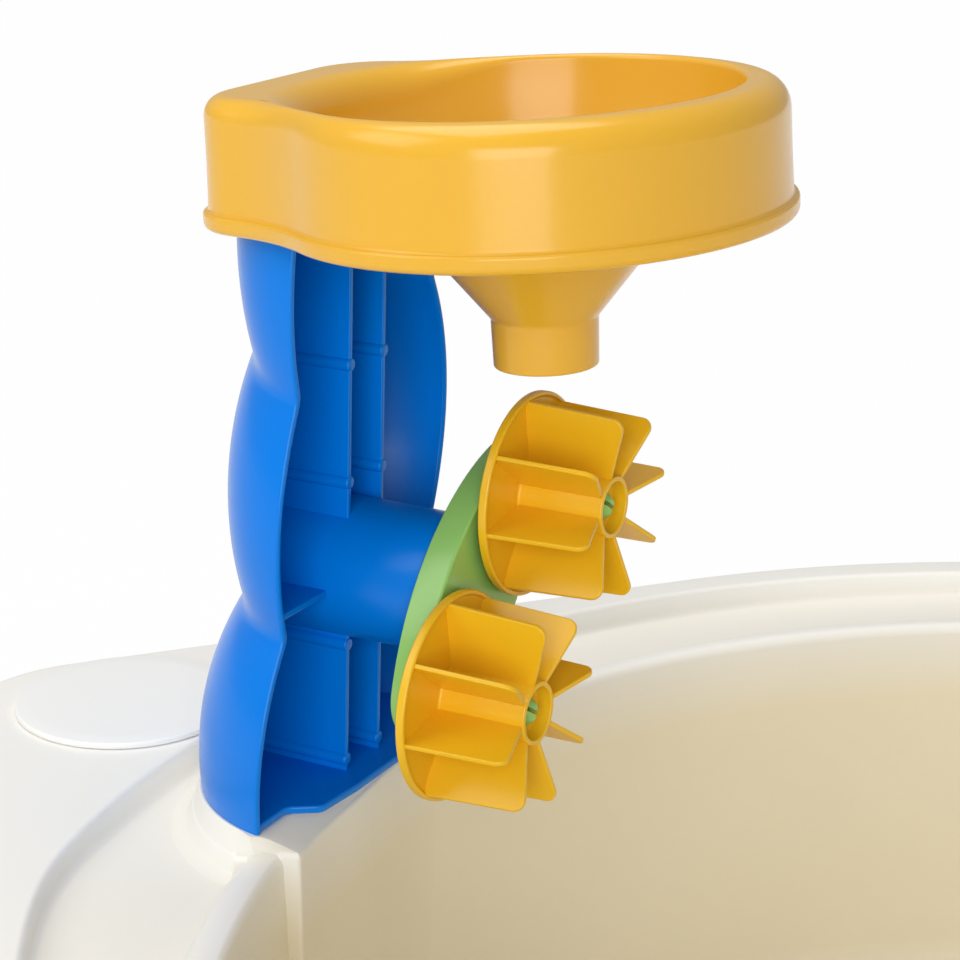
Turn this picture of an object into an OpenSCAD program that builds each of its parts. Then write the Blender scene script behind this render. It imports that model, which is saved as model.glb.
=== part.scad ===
// Water table: a round pool on four legs, with a tower that carries a hopper and a spinner with two wheels.
// Sizes are in millimetres. +Z is up and +X runs along the spinner's axis, from the tower out over the pool.
// The origin is on the floor, in the middle of the table's outline.

/* [Basin] */
// height of the deck above the floor
deck_h = 430; // [380:5:480]
// radius of the pool at its edge
pool_r = 319; // [290:1:345]
// depth of the pool under its ridge
pool_depth = 172; // [120:2:190]
// how far the pool wall leans in over its depth
pool_draft = 8; // [4:1:12]
// radius between pool wall and pool floor
pool_fillet = 22; // [10:1:30]
// width of the ridge round the pool
ridge_w = 12; // [9:0.5:16]
// ridge top under the deck
ridge_drop = 3; // [1:0.5:5]
// width of the shallow channel round the ridge
channel_w = 54; // [50:1:70]
// depth of the channel under the deck
channel_depth = 10.5; // [8:0.5:16]
// width of the flat lip round the channel
lip_w = 13; // [10:0.5:20]
// height of the outer skirt
skirt_h = 46; // [30:1:60]
// moulded wall of the basin
basin_t = 4; // [3:0.5:5]
// radius of the deck's round end
lobe_r = 66; // [62:1:90]
// how far the centre of the deck's round end lies outside the rim circle
lobe_out = 39; // [30:1:70]

/* [Pad under the tower] */
// radius of the round pad
pad_r = 73; // [73:0.5:76]
// pad top above the deck
pad_rise = 6.5; // [3:0.5:12]
// how far the pad's front stands into the pool
pad_into_pool = 9; // [8.5:0.5:16]
// drop of the pad's front edge under its top
pad_fall = 7; // [4:0.5:8]
// width of the slope down to the pad's front edge
pad_slope = 8; // [5:0.5:12]
// half width of the pad's front
pad_half_w = 62; // [50:1:66]
// how far the pad's round sides end behind the tower's axis
pad_side = 5; // [5:0.5:12]
// how far the tower's axis lies inside the pool edge
tower_in = 11; // [8:0.5:12]

/* [Tower] */
// height of the spinner's axis above the pad
pivot_h = 80; // [78:0.5:88]
// largest radius of the lowest bulge
bulge1_r = 69.4; // [66:0.2:71]
// largest radius of the middle bulge
bulge2_r = 58.1; // [56:0.1:61]
// largest radius of the top bulge
bulge3_r = 52.1; // [50:0.1:54]
// height of the lowest bulge's widest ring
bulge1_z = 12.7; // [8:0.1:17]
// height of the middle bulge's widest ring
bulge2_z = 114.3; // [108:0.1:119]
// height of the top bulge's widest ring
bulge3_z = 212; // [205:1:216]
// profile radius of the lowest bulge
bulge1_arc = 109; // [102:1:125]
// profile radius of the middle bulge
bulge2_arc = 121; // [112:1:138]
// profile radius of the top bulge
bulge3_arc = 142; // [130:1:165]
// depth of the lowest bulge for its width
bulge1_deep = 0.94; // [0.88:0.01:1]
// depth of the middle bulge for its width
bulge2_deep = 0.86; // [0.82:0.01:0.95]
// depth of the top bulge for its width
bulge3_deep = 0.84; // [0.8:0.01:0.92]
// slant of the middle bulge, higher at the back of the table
bulge2_slant = 12.7; // [8:0.1:16]
// slant of the top bulge, higher at the back of the table
bulge3_slant = 22; // [16:0.5:24]
// slant of the lowest bulge, higher towards the pool
bulge1_nod = 2.8; // [0:0.1:5]
// slant of the middle bulge, higher away from the pool
bulge2_nod = 6; // [0:0.5:8]
// slant of the top bulge, higher away from the pool
bulge3_nod = 9; // [4:0.5:12]
// wall of the tower
tower_t = 2.6; // [2:0.1:3.5]
// thickness of the tower's floor
tower_floor_t = 3; // [2:0.5:5]
// thickness of the tower's top plate
tower_top_t = 3; // [2:0.5:5]
// how far the open side lies behind the tower's axis
open_back = 4.9; // [3:0.1:8]
// lean of the open side
open_lean = 2.8; // [0:0.1:4]
// half distance between the two upright ribs
rib_half = 11.25; // [8:0.25:14]
// thickness of ribs and gussets
rib_t = 2.2; // [1.5:0.1:3]
// how far the ribs stand out of the open side at the spinner's axis
rib_proud = 0.4; // [0:0.1:3]
// lean of the ribs' front edges
rib_lean = 1.75; // [0:0.05:4]
// radius of the round bars along the ribs
bar_r = 2.5; // [1.5:0.1:3]
// depth of the side gussets
gusset_d = 26; // [15:1:35]
// drop of the gussets under the spinner's axis
gusset_drop = 0.6; // [0:0.2:6]
// half width of the floor's front tongue
tongue_half_w = 44; // [36:0.5:48]
// how far the tongue reaches past the tower's axis
tongue_reach = 3.5; // [1:0.1:5]
// radius of the spinner boss
boss_r = 25.5; // [23:0.5:28]
// how far the boss reaches past the tower's axis
boss_reach = 32.7; // [28:0.1:38]
// side wall of the boss
boss_t = 3.5; // [2.5:0.1:4.5]
// end wall of the boss
boss_end = 4; // [3:0.5:6]

/* [Hopper] */
// height of the hopper's seat above the spinner's axis
seat_up = 133.4; // [130:0.1:140]
// tilt of the hopper, raised over the pool
hopper_tilt = 2.9; // [1:0.1:4]
// height of the hopper from seat to rim
hopper_h = 44.6; // [40:0.1:50]
// half width of the flange round the bowl
flange_r = 92.6; // [90:0.1:98]
// length of flange and bowl for their width
hopper_squash = 0.913; // [0.85:0.001:1]
// distance from the tower's axis to the flange's centre
flange_dx = 67.1; // [64:0.1:72]
// thickness of the flange
flange_h = 6; // [4:0.5:8]
// how far the flange stands out of the wall
flange_out = 2.5; // [2:0.1:4]
// distance from the tower's axis to the spout
spout_dx = 66.8; // [62:0.2:72]
// distance from the tower's axis to the hopper's flat end
end_back = 44; // [42:0.5:50]
// half width of the flat end
end_half_w = 58.5; // [54:0.5:62]
// corner radius of the flat end
end_corner = 31.5; // [26:0.5:36]
// direction from the flange's centre in which its neck starts
neck_at = 124.6; // [120:0.1:130]
// rounding of the rim
rim_round = 10; // [8:0.5:11]
// wall of the hopper
hopper_t = 2.5; // [2:0.1:3]
// half width of the bowl at its mouth
bowl_r = 80; // [76:0.5:82]
// distance from the tower's axis to the bowl's centre
bowl_dx = 61.5; // [59:0.5:65]
// height of the bowl's bottom edge above the seat
bowl_low = 12; // [8:0.5:16]
// outer radius of the spout
spout_r = 18; // [15:0.5:20]
// length of the spout
spout_len = 17; // [12:0.5:20]
// depth of the spout's top under the seat
cone_drop = 33; // [28:0.5:36]
// growth of the funnel's radius per millimetre of height
cone_slope = 0.795; // [0.7:0.005:0.9]

/* [Spinner] */
// half length of the oval arm
arm_a = 58; // [56:0.5:60]
// half width of the oval arm
arm_b = 27.75; // [26:0.25:30]
// end radius of the oval arm
arm_end_r = 16.5; // [15:0.25:18]
// depth of the arm
arm_depth = 11.6; // [10:0.1:14]
// thickness of the arm's face
arm_face = 3; // [2.5:0.1:4]
// thickness of the arm's skirt
arm_t = 2.4; // [1.8:0.1:3]
// turn of the arm at rest
arm_angle = 45; // [0:1:90]
// distance from the spinner's axis to each wheel axis
wheel_off = 40.65; // [40.2:0.05:41]
// radius of the spindle
spindle_r = 8; // [7:0.1:9]
// radius of the spindle's washer
washer_r = 13; // [11:0.5:15]
// thickness of the spindle's washer
washer_t = 1.5; // [1:0.1:2]

/* [Wheels] */
// radius of a wheel's disc
wheel_r = 37.5; // [36:0.1:38]
// thickness of a wheel's disc
disc_t = 2.2; // [1.6:0.1:3]
// height of the lip on the disc's edge
disc_lip = 1.1; // [0.6:0.1:2]
// width of the lip on the disc's edge
disc_lip_w = 1.6; // [1.2:0.1:2.4]
// length of the hub from the disc's back
hub_len = 35.3; // [32:0.1:38]
// outer radius of the hub
hub_r = 11.3; // [10.5:0.1:12.5]
// radius of the hub's open mouth
mouth_r = 9.45; // [8:0.05:9.8]
// depth of the hub's open mouth
mouth_d = 6; // [5.5:0.5:12]
// number of vanes
vane_n = 8; // [6:1:10]
// thickness of a vane
vane_t = 1.8; // [1.4:0.1:2.4]
// length of the vanes at their outer edge, from the disc's back
vane_len = 41.2; // [36:0.1:43]
// gap between the vanes' outer edge and the disc's edge
vane_in = 0.9; // [0.4:0.1:2]
// how far the vanes' outer edge draws in towards the front
vane_taper = 2; // [0:0.1:3]
// rounding of the vanes' front corner
vane_round = 4; // [2:0.5:6]
// turn of the vanes at rest
vane_angle = 8; // [0:1:44]
// radius of an axle pin
pin_r = 4.24; // [3.6:0.02:4.8]
// radius of a pin's collar
collar_r = 7; // [6:0.1:8]
// thickness of a pin's collar
collar_t = 2; // [1.5:0.1:3]
// how far a pin's snap head stands over its shank
snap_over = 0.9; // [0.6:0.05:1.2]
// length of a pin's snap head
snap_len = 4.6; // [3.5:0.1:5.5]
// width of a pin's slot
slot_w = 1.6; // [1:0.1:2]

/* [Legs] */
// radius of a leg in its socket
leg_r = 26; // [24:0.5:28]
// wall of a leg
leg_t = 3; // [2:0.2:4]
// radius of a leg at the foot
leg_foot_r = 20; // [17:0.5:23]
// length of the sockets under the basin
socket_len = 42; // [34:1:50]
// wall of the sockets
socket_t = 3.6; // [3:0.2:4.4]
// wall of the foot caps
cap_t = 3; // [2:0.5:4]
// height of the foot caps
cap_h = 16; // [12:1:24]

/* [Cover and plug] */
// radius of the round cover
cover_r = 45; // [42:0.5:48]
// thickness of the round cover
cover_t = 3; // [2:0.2:4]
// radius of the cover's inner ring
cover_ring_r = 38; // [34:0.5:39]
// depth of the cover's inner ring
cover_ring_h = 9; // [6:0.5:12]
// shift of the cover towards the back
cover_y = 16; // [0:0.5:18]
// depth of the well under the cover
well_h = 28; // [20:1:36]
// radius of the drain
drain_r = 12; // [10:0.5:16]
// distance of the drain from the pool centre
drain_at = 190; // [150:5:230]
// length of the drain spout under the floor
drain_len = 14; // [10:1:20]
// width of the plug's flange round the drain
plug_over = 4; // [3:0.5:6]

/* [Screws] */
// radius of the screws
screw_r = 2; // [1.6:0.1:2.4]
// radius of the screw heads
head_r = 4; // [3.6:0.1:4.6]
// height of the screw heads
head_h = 2.6; // [2:0.1:3.2]
// length of the screws
screw_len = 16; // [14:0.5:20]
// radius of the screw bosses
stub_r = 5; // [4.5:0.1:6]
// rim and height of the screw seats on the sockets
seat_rim = 1.5; // [1:0.1:2]

/* [Fits] */
// running clearance of pins and spindle
run_fit = 0.06; // [0.02:0.01:0.1]
// clearance of screws and seated pieces
seat_fit = 0.1; // [0.05:0.01:0.2]
// clearance of legs in sockets and of the cover's ring
loose_fit = 0.4; // [0.3:0.05:0.6]
// end play of arm and wheels
end_play = 0.35; // [0.3:0.05:0.6]

/* [Hidden] */
$fn = 96;
rim_r = pool_r + ridge_w + channel_w + lip_w;
lobe_dx = rim_r + lobe_out;
pool_x = (lobe_dx + lobe_r - rim_r) / 2;
lobe_x = pool_x - lobe_dx;
z_ridge = deck_h - ridge_drop;
z_channel = deck_h - channel_depth;
z_pool = z_ridge - pool_depth;
z_pad = deck_h + pad_rise;
r_ch0 = pool_r + ridge_w;
r_ch1 = r_ch0 + channel_w;
tower_x = pool_x - pool_r + tower_in;
pivot_z = z_pad + pivot_h;
seat_z = pivot_z + seat_up;
leg_ring = r_ch0 + channel_w / 2;
leg_top = z_channel - basin_t;
socket_r = leg_r + loose_fit;
socket_out = socket_r + socket_t;
leg_seat = leg_top - socket_len;
leg_angles = [225, 315, 135, 45];
arm_x = tower_x + boss_reach + end_play;
pin_x = arm_x + arm_depth;
wheel_x = pin_x + collar_t + end_play;
bore_len = hub_len - mouth_d;
spindle_len = boss_end + 2 * end_play;
arm_c = arm_a - arm_end_r;
arm_big = (arm_c * arm_c + arm_b * arm_b - arm_end_r * arm_end_r) / (2 * (arm_b - arm_end_r));
drain_dir = -40;
lap = 0.03;
bulges = [[bulge1_r, bulge1_z, bulge1_arc, bulge1_deep, 0, bulge1_nod],
    [bulge2_r, bulge2_z, bulge2_arc, bulge2_deep, bulge2_slant, -bulge2_nod],
    [bulge3_r, bulge3_z, bulge3_arc, bulge3_deep, bulge3_slant, -bulge3_nod]];
bar_z = pivot_h * [-0.909, -0.331, 0.45, 0.998];
tower_screw_at = bulge1_r * [[-0.29, 0], [-0.52, 0.49], [-0.52, -0.49]];
hopper_screw_at = [for (s = [1, -1]) [-0.6 * end_back, s * 0.43 * end_half_w]];
// hopper outline before it is squashed: flange centre, corner of the flat end, neck centre and radius
flange_c = [flange_dx / hopper_squash, 0];
corner_c = [end_corner - end_back / hopper_squash, end_half_w - end_corner];
neck_dir = [cos(neck_at), sin(neck_at)];
neck_to = flange_c + flange_r * neck_dir - corner_c;
neck_r = (neck_to * neck_to - end_corner * end_corner) / (2 * (end_corner - neck_to * neck_dir));
neck_c = flange_c + (flange_r + neck_r) * neck_dir;

// points on an arc about c
function arc_pts(c, r, a0, a1, n) = [for (i = [0:n]) let (a = a0 + (a1 - a0) * i / n)
    [c[0] + r * cos(a), c[1] + r * sin(a)]];

function at_dir(p, r, a) = [p[0] + r * cos(a), p[1] + r * sin(a)];

// where the open side of the tower lies at height z above the pad
function open_x(z) = -open_back + (z - pivot_h) * tan(open_lean);

// where the ribs' front edges lie at height z above the pad
function rib_x(z) = rib_proud - open_back + (z - pivot_h) * tan(rib_lean);

// frame with local z along +X, local x along +Y and local y along +Z
module along_x() {
    rotate([90, 0, 90]) children();
}

// screw with its head above z = 0 and its shank below
module screw(len) {
    difference() {
        union() {
            cylinder(r = head_r, h = head_h);
            translate([0, 0, -len]) cylinder(r = screw_r, h = len + 0.5);
        }
        for (a = [0, 90]) rotate([0, 0, a])
            translate([-head_r * 0.6, -head_r * 0.14, head_h * 0.45])
                cube([head_r * 1.2, head_r * 0.28, head_h]);
    }
}

// outline of the table top, inset by d, about the pool centre
module top_outline(d) {
    a = acos((lobe_r - rim_r) / lobe_dx);
    e = [-lobe_dx, 0];
    circle(r = rim_r - d);
    translate(e) circle(r = lobe_r - d);
    polygon([at_dir(e, lobe_r - d - lap, -a), at_dir([0, 0], rim_r - d - lap, -a),
        at_dir([0, 0], rim_r - d - lap, a), at_dir(e, lobe_r - d - lap, a)]);
}

// pool wall, ridge and channel, turned about the pool centre
module pool_ring() {
    r0 = pool_r - pool_draft;
    f = pool_fillet;
    rotate_extrude($fn = 192) polygon(concat(
        [[0, z_pool]],
        arc_pts([r0 - f, z_pool + f], f, -90, 0, 5),
        [[pool_r - 1.5, z_ridge - 3.5]],
        arc_pts([pool_r + 2, z_ridge - 3.5], 3.5, 180, 90, 4),
        arc_pts([r_ch0 - 4, z_ridge - 3], 3, 90, 20, 3),
        [[r_ch0 + 0.5, z_channel], [r_ch1 - 1, z_channel], [r_ch1, z_channel + 2], [r_ch1, deck_h],
        [r_ch1 + basin_t, deck_h], [r_ch1 + basin_t, z_channel - basin_t],
        [pool_r + basin_t, z_channel - basin_t]],
        arc_pts([r0 - f, z_pool + f], f + basin_t, 0, -90, 5),
        [[0, z_pool - basin_t]]));
}

// deck round the channel with its skirt
module deck_ring() {
    translate([0, 0, deck_h - basin_t]) linear_extrude(basin_t) difference() {
        top_outline(0);
        circle(r = r_ch1 + basin_t / 2, $fn = 192);
    }
    translate([0, 0, deck_h - skirt_h]) linear_extrude(skirt_h - basin_t / 2) difference() {
        top_outline(0);
        top_outline(basin_t);
    }
}

// room in front of the pad and over its sloped edge, inset by d into the pad, about the tower's axis
module pad_clear(d) {
    rf = pool_r - pad_into_pool + d;
    rs = pool_r - pad_into_pool + pad_slope + 1.4 * d;
    translate([pool_r - tower_in, 0, 0]) rotate_extrude($fn = 192) polygon([[0, -1], [rf, -1],
        [rf, z_pad - pad_fall - 0.4 * d], [rs, z_pad], [rs, z_pad + 1], [0, z_pad + 1]]);
}

// pad that the tower stands on, inset by d, up to height z1, about the tower's axis
module pad_body(d, z1) {
    x_back = -sqrt(pad_r * pad_r - pad_half_w * pad_half_w) - basin_t;
    z0 = z_channel - basin_t - d;
    difference() {
        translate([x_back + d, d - pad_half_w, z0]) cube([pad_r - x_back, 2 * (pad_half_w - d), z1 - z0]);
        pad_clear(d);
    }
    intersection() {
        translate([0, 0, z0]) cylinder(r = pad_r - d, h = z1 - z0);
        translate([-pad_r - 1, -pad_r - 1, z0]) cube([pad_r + 1 - pad_side - d, 2 * pad_r + 2, z1 - z0]);
    }
}

// front of the pad down the pool wall, inset by d, about the tower's axis
module pad_relief(d) {
    difference() {
        translate([-tower_in - pad_r, d - pad_half_w, z_pool - basin_t - d])
            cube([2 * pad_r, 2 * (pad_half_w - d), z_channel - z_pool]);
        pad_clear(d);
    }
}

module leg_sockets() {
    for (a = leg_angles) rotate([0, 0, a]) translate([leg_ring, 0, 0]) {
        translate([0, 0, leg_seat]) difference() {
            cylinder(r = socket_out, h = socket_len + basin_t / 2);
            translate([0, 0, -1]) cylinder(r = socket_r, h = socket_len + 1);
        }
        translate([0, socket_out - socket_t / 2, leg_top - socket_len / 2]) rotate([-90, 0, 0])
            cylinder(r = head_r + seat_rim, h = socket_t / 2 + seat_rim);
    }
}

module basin() color([0.91, 0.89, 0.84]) difference() {
    union() {
        translate([pool_x, 0, 0]) {
            pool_ring();
            deck_ring();
            leg_sockets();
            rotate([0, 0, drain_dir]) translate([drain_at, 0, z_pool - drain_len])
                cylinder(r = drain_r + basin_t, h = drain_len);
        }
        translate([tower_x, 0, 0]) pad_body(0, z_pad);
        intersection() {
            translate([tower_x, 0, 0]) pad_relief(0);
            translate([pool_x, 0, z_pool]) cylinder(r1 = pool_r - pool_draft + basin_t / 2,
                r2 = pool_r + basin_t / 2, h = pool_depth, $fn = 192);
        }
        translate([lobe_x, cover_y, deck_h - well_h - basin_t])
            cylinder(r = cover_ring_r + loose_fit + basin_t, h = well_h + basin_t / 2);
    }
    translate([tower_x, 0, 0]) {
        pad_body(basin_t, z_pad - basin_t);
        pad_relief(basin_t);
        for (p = tower_screw_at) translate([p[0], p[1], z_pad - basin_t - 1])
            cylinder(r = screw_r + seat_fit, h = basin_t + 2, $fn = 32);
    }
    translate([lobe_x, cover_y, deck_h - well_h]) cylinder(r = cover_ring_r + loose_fit, h = well_h + 1);
    translate([pool_x, 0, 0]) {
        rotate([0, 0, drain_dir]) translate([drain_at, 0, z_pool - drain_len - 1])
            cylinder(r = drain_r, h = drain_len + 2);
        for (a = leg_angles) rotate([0, 0, a]) translate([leg_ring, socket_r - 2, leg_top - socket_len / 2])
            rotate([-90, 0, 0]) cylinder(r = screw_r + seat_fit, h = socket_t + seat_rim + 4, $fn = 32);
    }
}

// one leg about its own axis, with its screw hole on the +Y side
module leg() {
    difference() {
        union() {
            translate([0, 0, leg_seat - 0.5]) cylinder(r = leg_r, h = socket_len + 0.5);
            translate([0, 0, leg_seat - 8]) cylinder(r = socket_out, h = 8);
            translate([0, 0, cap_t + cap_h])
                cylinder(r1 = leg_foot_r, r2 = leg_r + 1, h = leg_seat - 7 - cap_t - cap_h);
            translate([0, 0, cap_t]) cylinder(r = leg_foot_r, h = cap_h + 0.5);
        }
        translate([0, 0, cap_t - 1]) cylinder(r = leg_foot_r - leg_t, h = cap_h + 1.5);
        translate([0, 0, cap_t + cap_h])
            cylinder(r1 = leg_foot_r - leg_t, r2 = leg_r - leg_t, h = leg_seat - 7 - cap_t - cap_h);
        translate([0, 0, leg_seat - 7.5]) cylinder(r = leg_r - leg_t, h = socket_len + 7.5 - leg_t);
        translate([0, 0, leg_top - socket_len / 2]) rotate([-90, 0, 0])
            cylinder(r = screw_r + seat_fit, h = leg_r + 1, $fn = 32);
    }
}

module at_leg(i) {
    translate([pool_x, 0, 0]) rotate([0, 0, leg_angles[i]]) translate([leg_ring, 0, 0]) children();
}

module leg_front_left() color([0.9, 0.88, 0.82]) at_leg(0) leg();

module leg_front_right() color([0.9, 0.88, 0.82]) at_leg(1) leg();

module leg_back_left() color([0.9, 0.88, 0.82]) at_leg(2) leg();

module leg_back_right() color([0.9, 0.88, 0.82]) at_leg(3) leg();

module leg_feet() color([0.2, 0.2, 0.22]) for (i = [0:3]) at_leg(i) difference() {
    cylinder(r = leg_foot_r + seat_fit + cap_t, h = cap_t + cap_h);
    translate([0, 0, cap_t]) cylinder(r = leg_foot_r + seat_fit, h = cap_h + 1);
}

module leg_screws() color([0.7, 0.7, 0.72]) for (i = [0:3]) at_leg(i)
    translate([0, socket_out + seat_rim, leg_top - socket_len / 2]) rotate([-90, 0, 0]) screw(screw_len);

module drain_plug() color([0.12, 0.42, 0.82])
    translate([pool_x, 0, z_pool]) rotate([0, 0, drain_dir]) translate([drain_at, 0, 0]) {
        translate([0, 0, -drain_len + 2]) cylinder(r = drain_r - loose_fit, h = drain_len);
        cylinder(r = drain_r + plug_over, h = cap_t);
        difference() {
            translate([0, 1.5, cap_t]) rotate([90, 0, 0]) linear_extrude(3) union() {
                translate([0, drain_r * 0.7]) circle(r = drain_r * 0.7);
                translate([-drain_r * 0.7, -1]) square([drain_r * 1.4, drain_r * 0.7 + 1]);
            }
            translate([0, 3, cap_t + drain_r * 0.7]) rotate([90, 0, 0]) cylinder(r = drain_r * 0.38, h = 6);
        }
    }

module round_cover() color([0.93, 0.92, 0.9]) translate([lobe_x, cover_y, deck_h]) {
    rotate_extrude() polygon(concat([[0, 0], [cover_r, 0]],
        arc_pts([cover_r - cover_t * 0.6, cover_t * 0.4], cover_t * 0.6, 0, 90, 3), [[0, cover_t]]));
    difference() {
        translate([0, 0, -cover_ring_h]) cylinder(r = cover_ring_r, h = cover_ring_h + 0.5);
        translate([0, 0, -cover_ring_h - 1]) cylinder(r = cover_ring_r - cover_t, h = cover_ring_h + 1);
    }
}

// the stack of slanted bulges, inset by d, about the tower's axis
module bulge_stack(d) {
    for (b = bulges) multmatrix([[b[3], 0, 0, 0], [0, 1, 0, 0], [b[3] * tan(b[5]), tan(b[4]), 1, 0]])
        rotate_extrude() intersection() {
            translate([b[0] - b[2], b[1]]) circle(r = b[2] - d);
            translate([0, b[1] - 2 * b[2]]) square(4 * b[2]);
        }
}

// space between level z0 and the hopper's seat, less t
module tower_span(z0, t) {
    intersection() {
        translate([-120, -120, z0]) cube([240, 240, 400]);
        translate([0, 0, pivot_h + seat_up]) rotate([0, -hopper_tilt, 0]) translate([-160, -160, -500 - t])
            cube([320, 320, 500]);
    }
}

// all that lies more than d in front of the open side, with a lean
module open_front(d, lean) {
    translate([-open_back + d, 0, pivot_h]) rotate([0, lean, 0]) translate([0, -150, -300])
        cube([300, 300, 600]);
}

// what stands inside the tower's wall and in front of its open side
module tower_inside() {
    difference() {
        for (s = [-1, 1]) translate([-100, s * rib_half - rib_t / 2, -1]) cube([200, rib_t, 400]);
        open_front(rib_proud, rib_lean);
    }
    translate([open_x(pivot_h) - gusset_d, -100, pivot_h - gusset_drop - rib_t]) cube([gusset_d, 200, rib_t]);
    for (s = [-1, 1], z = bar_z) translate([-100, s * rib_half, pivot_h + z]) along_x()
        cylinder(r = bar_r, h = 100 + rib_x(pivot_h + z) + bar_r / 5, $fn = 24);
    translate([-100, 0, pivot_h]) along_x() cylinder(r = boss_r, h = 100 + boss_reach);
    for (p = tower_screw_at) translate([p[0], p[1], -1]) cylinder(r = stub_r, h = screw_len + 1);
    translate([-tongue_half_w, -tongue_half_w, -1])
        cube([tongue_half_w + tongue_reach, 2 * tongue_half_w, tower_floor_t + 1]);
}

module tower_shell() color([0.05, 0.4, 0.85]) translate([tower_x, 0, z_pad]) difference() {
    intersection() {
        bulge_stack(0);
        tower_span(0, 0);
    }
    difference() {
        union() {
            intersection() {
                bulge_stack(tower_t);
                tower_span(tower_floor_t, tower_top_t);
            }
            open_front(0, open_lean);
        }
        tower_inside();
    }
    translate([-120, 0, pivot_h]) along_x() {
        cylinder(r = boss_r - boss_t, h = 120 + boss_reach - boss_end);
        cylinder(r = spindle_r + run_fit, h = 130 + boss_reach);
    }
    for (p = tower_screw_at) translate([p[0], p[1], -1])
        cylinder(r = screw_r + seat_fit, h = screw_len - 2, $fn = 32);
    translate([0, 0, pivot_h + seat_up]) rotate([0, -hopper_tilt, 0]) for (p = hopper_screw_at)
        translate([p[0], p[1], -tower_top_t - 3])
            cylinder(r = screw_r + seat_fit, h = tower_top_t + 6, $fn = 32);
}

module tower_screws() color([0.7, 0.7, 0.72]) for (p = tower_screw_at)
    translate([tower_x + p[0], p[1], z_pad - basin_t]) rotate([180, 0, 0]) screw(screw_len);

// frame on the hopper's seat, about the tower's axis
module on_seat() {
    translate([tower_x, 0, seat_z]) rotate([0, -hopper_tilt, 0]) children();
}

// hopper outline in plan before it is squashed, inset by d
module hopper_plan(d) {
    x_end = -end_back / hopper_squash;
    translate(flange_c) circle(r = flange_r - d);
    translate([x_end + d + lap, -corner_c[1]]) square([end_corner + 1 - d, 2 * corner_c[1]]);
    for (s = [-1, 1]) {
        translate([corner_c[0], s * corner_c[1]]) circle(r = end_corner - d);
        difference() {
            neck_wedge(s);
            translate([neck_c[0], s * neck_c[1]]) circle(r = neck_r + d + lap, $fn = 192);
        }
    }
}

// part of the plan that a neck is cut from, on side s
module neck_wedge(s) {
    polygon([flange_c, [neck_c[0], s * neck_c[1]], [corner_c[0], s * corner_c[1]], [corner_c[0], -s * 5]]);
}

// solid whose side follows the hopper's outline with the inset and height of each point in pts
module hopper_solid(pts) {
    x_end = -end_back / hopper_squash;
    z0 = pts[0][1];
    z1 = pts[len(pts) - 1][1];
    translate(flange_c) rotate_extrude()
        polygon(concat([[0, z0]], [for (e = pts) [flange_r - e[0], e[1]]], [[0, z1]]));
    translate([0, corner_c[1], 0]) rotate([90, 0, 0]) linear_extrude(2 * corner_c[1])
        polygon(concat([for (e = pts) [x_end + e[0] + lap, e[1]]],
            [[corner_c[0] + 1, z1], [corner_c[0] + 1, z0]]));
    for (s = [-1, 1]) {
        translate([corner_c[0], s * corner_c[1], 0]) rotate_extrude()
            polygon(concat([[0, z0]], [for (e = pts) [end_corner - e[0], e[1]]], [[0, z1]]));
        difference() {
            translate([0, 0, z0]) linear_extrude(z1 - z0) neck_wedge(s);
            translate([neck_c[0], s * neck_c[1], 0]) rotate_extrude($fn = 192) polygon(concat(
                [[0, z0 - 1], [neck_r + pts[0][0] + lap, z0 - 1]],
                [for (e = pts) [neck_r + e[0] + lap, e[1]]],
                [[neck_r + pts[len(pts) - 1][0] + lap, z1 + 1], [0, z1 + 1]]));
        }
    }
}

// solid of profile pts turned about the bowl's centre before it is squashed
module bowl_solid(pts) {
    translate([bowl_dx / hopper_squash, 0, 0]) rotate_extrude() polygon(pts);
}

module hopper() color([0.95, 0.74, 0.2]) on_seat() {
    h = hopper_h;
    t = hopper_t;
    o = flange_out;
    bore = spout_r - t;
    cone_top = bore + (cone_drop + bowl_low) * cone_slope;
    floor_r = (cone_top + abs(spout_dx - bowl_dx) + 0.5) / hopper_squash;
    difference() {
        union() {
            scale([hopper_squash, 1, 1]) {
                difference() {
                    hopper_solid(concat([[0, 0], [0, flange_h - 1], [1, flange_h], [o, flange_h]],
                        arc_pts([o + rim_round, h - rim_round], rim_round, 180, 90, 5)));
                    translate([0, 0, -1]) linear_extrude(h - rim_round + 1) hopper_plan(o + t);
                    translate([0, 0, -1]) linear_extrude(h - t + 1) hopper_plan(o + t + rim_round * 0.45);
                }
                bowl_solid([[0, bowl_low - t], [floor_r, bowl_low - t], [bowl_r - 4 + t, bowl_low + 4],
                    [bowl_r + t, h - t / 2], [0, h - t / 2]]);
            }
            translate([spout_dx, 0, 0]) rotate_extrude() polygon([[0, -cone_drop - spout_len],
                [spout_r, -cone_drop - spout_len], [spout_r, -cone_drop], [cone_top + t, bowl_low],
                [0, bowl_low + 1]]);
            for (p = hopper_screw_at) translate([p[0], p[1], 0]) cylinder(r = stub_r, h = h - t / 2);
        }
        scale([hopper_squash, 1, 1]) bowl_solid([[0, bowl_low], [floor_r, bowl_low],
            [bowl_r - 5, bowl_low + 6], [bowl_r, h - 4], [bowl_r + 1.2, h - 1.2],
            [bowl_r + 4, h + 0.2], [0, h + 0.2]]);
        translate([spout_dx, 0, 0]) rotate_extrude() polygon([[0, -cone_drop - spout_len - 1],
            [bore, -cone_drop - spout_len - 1], [bore, -cone_drop], [cone_top, bowl_low],
            [cone_top, bowl_low + 1], [0, bowl_low + 1]]);
        for (p = hopper_screw_at) translate([p[0], p[1], -1])
            cylinder(r = screw_r + seat_fit, h = screw_len, $fn = 32);
    }
}

module hopper_screws() color([0.7, 0.7, 0.72]) on_seat() for (p = hopper_screw_at)
    translate([p[0], p[1], -tower_top_t]) rotate([180, 0, 0]) screw(screw_len);

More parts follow.
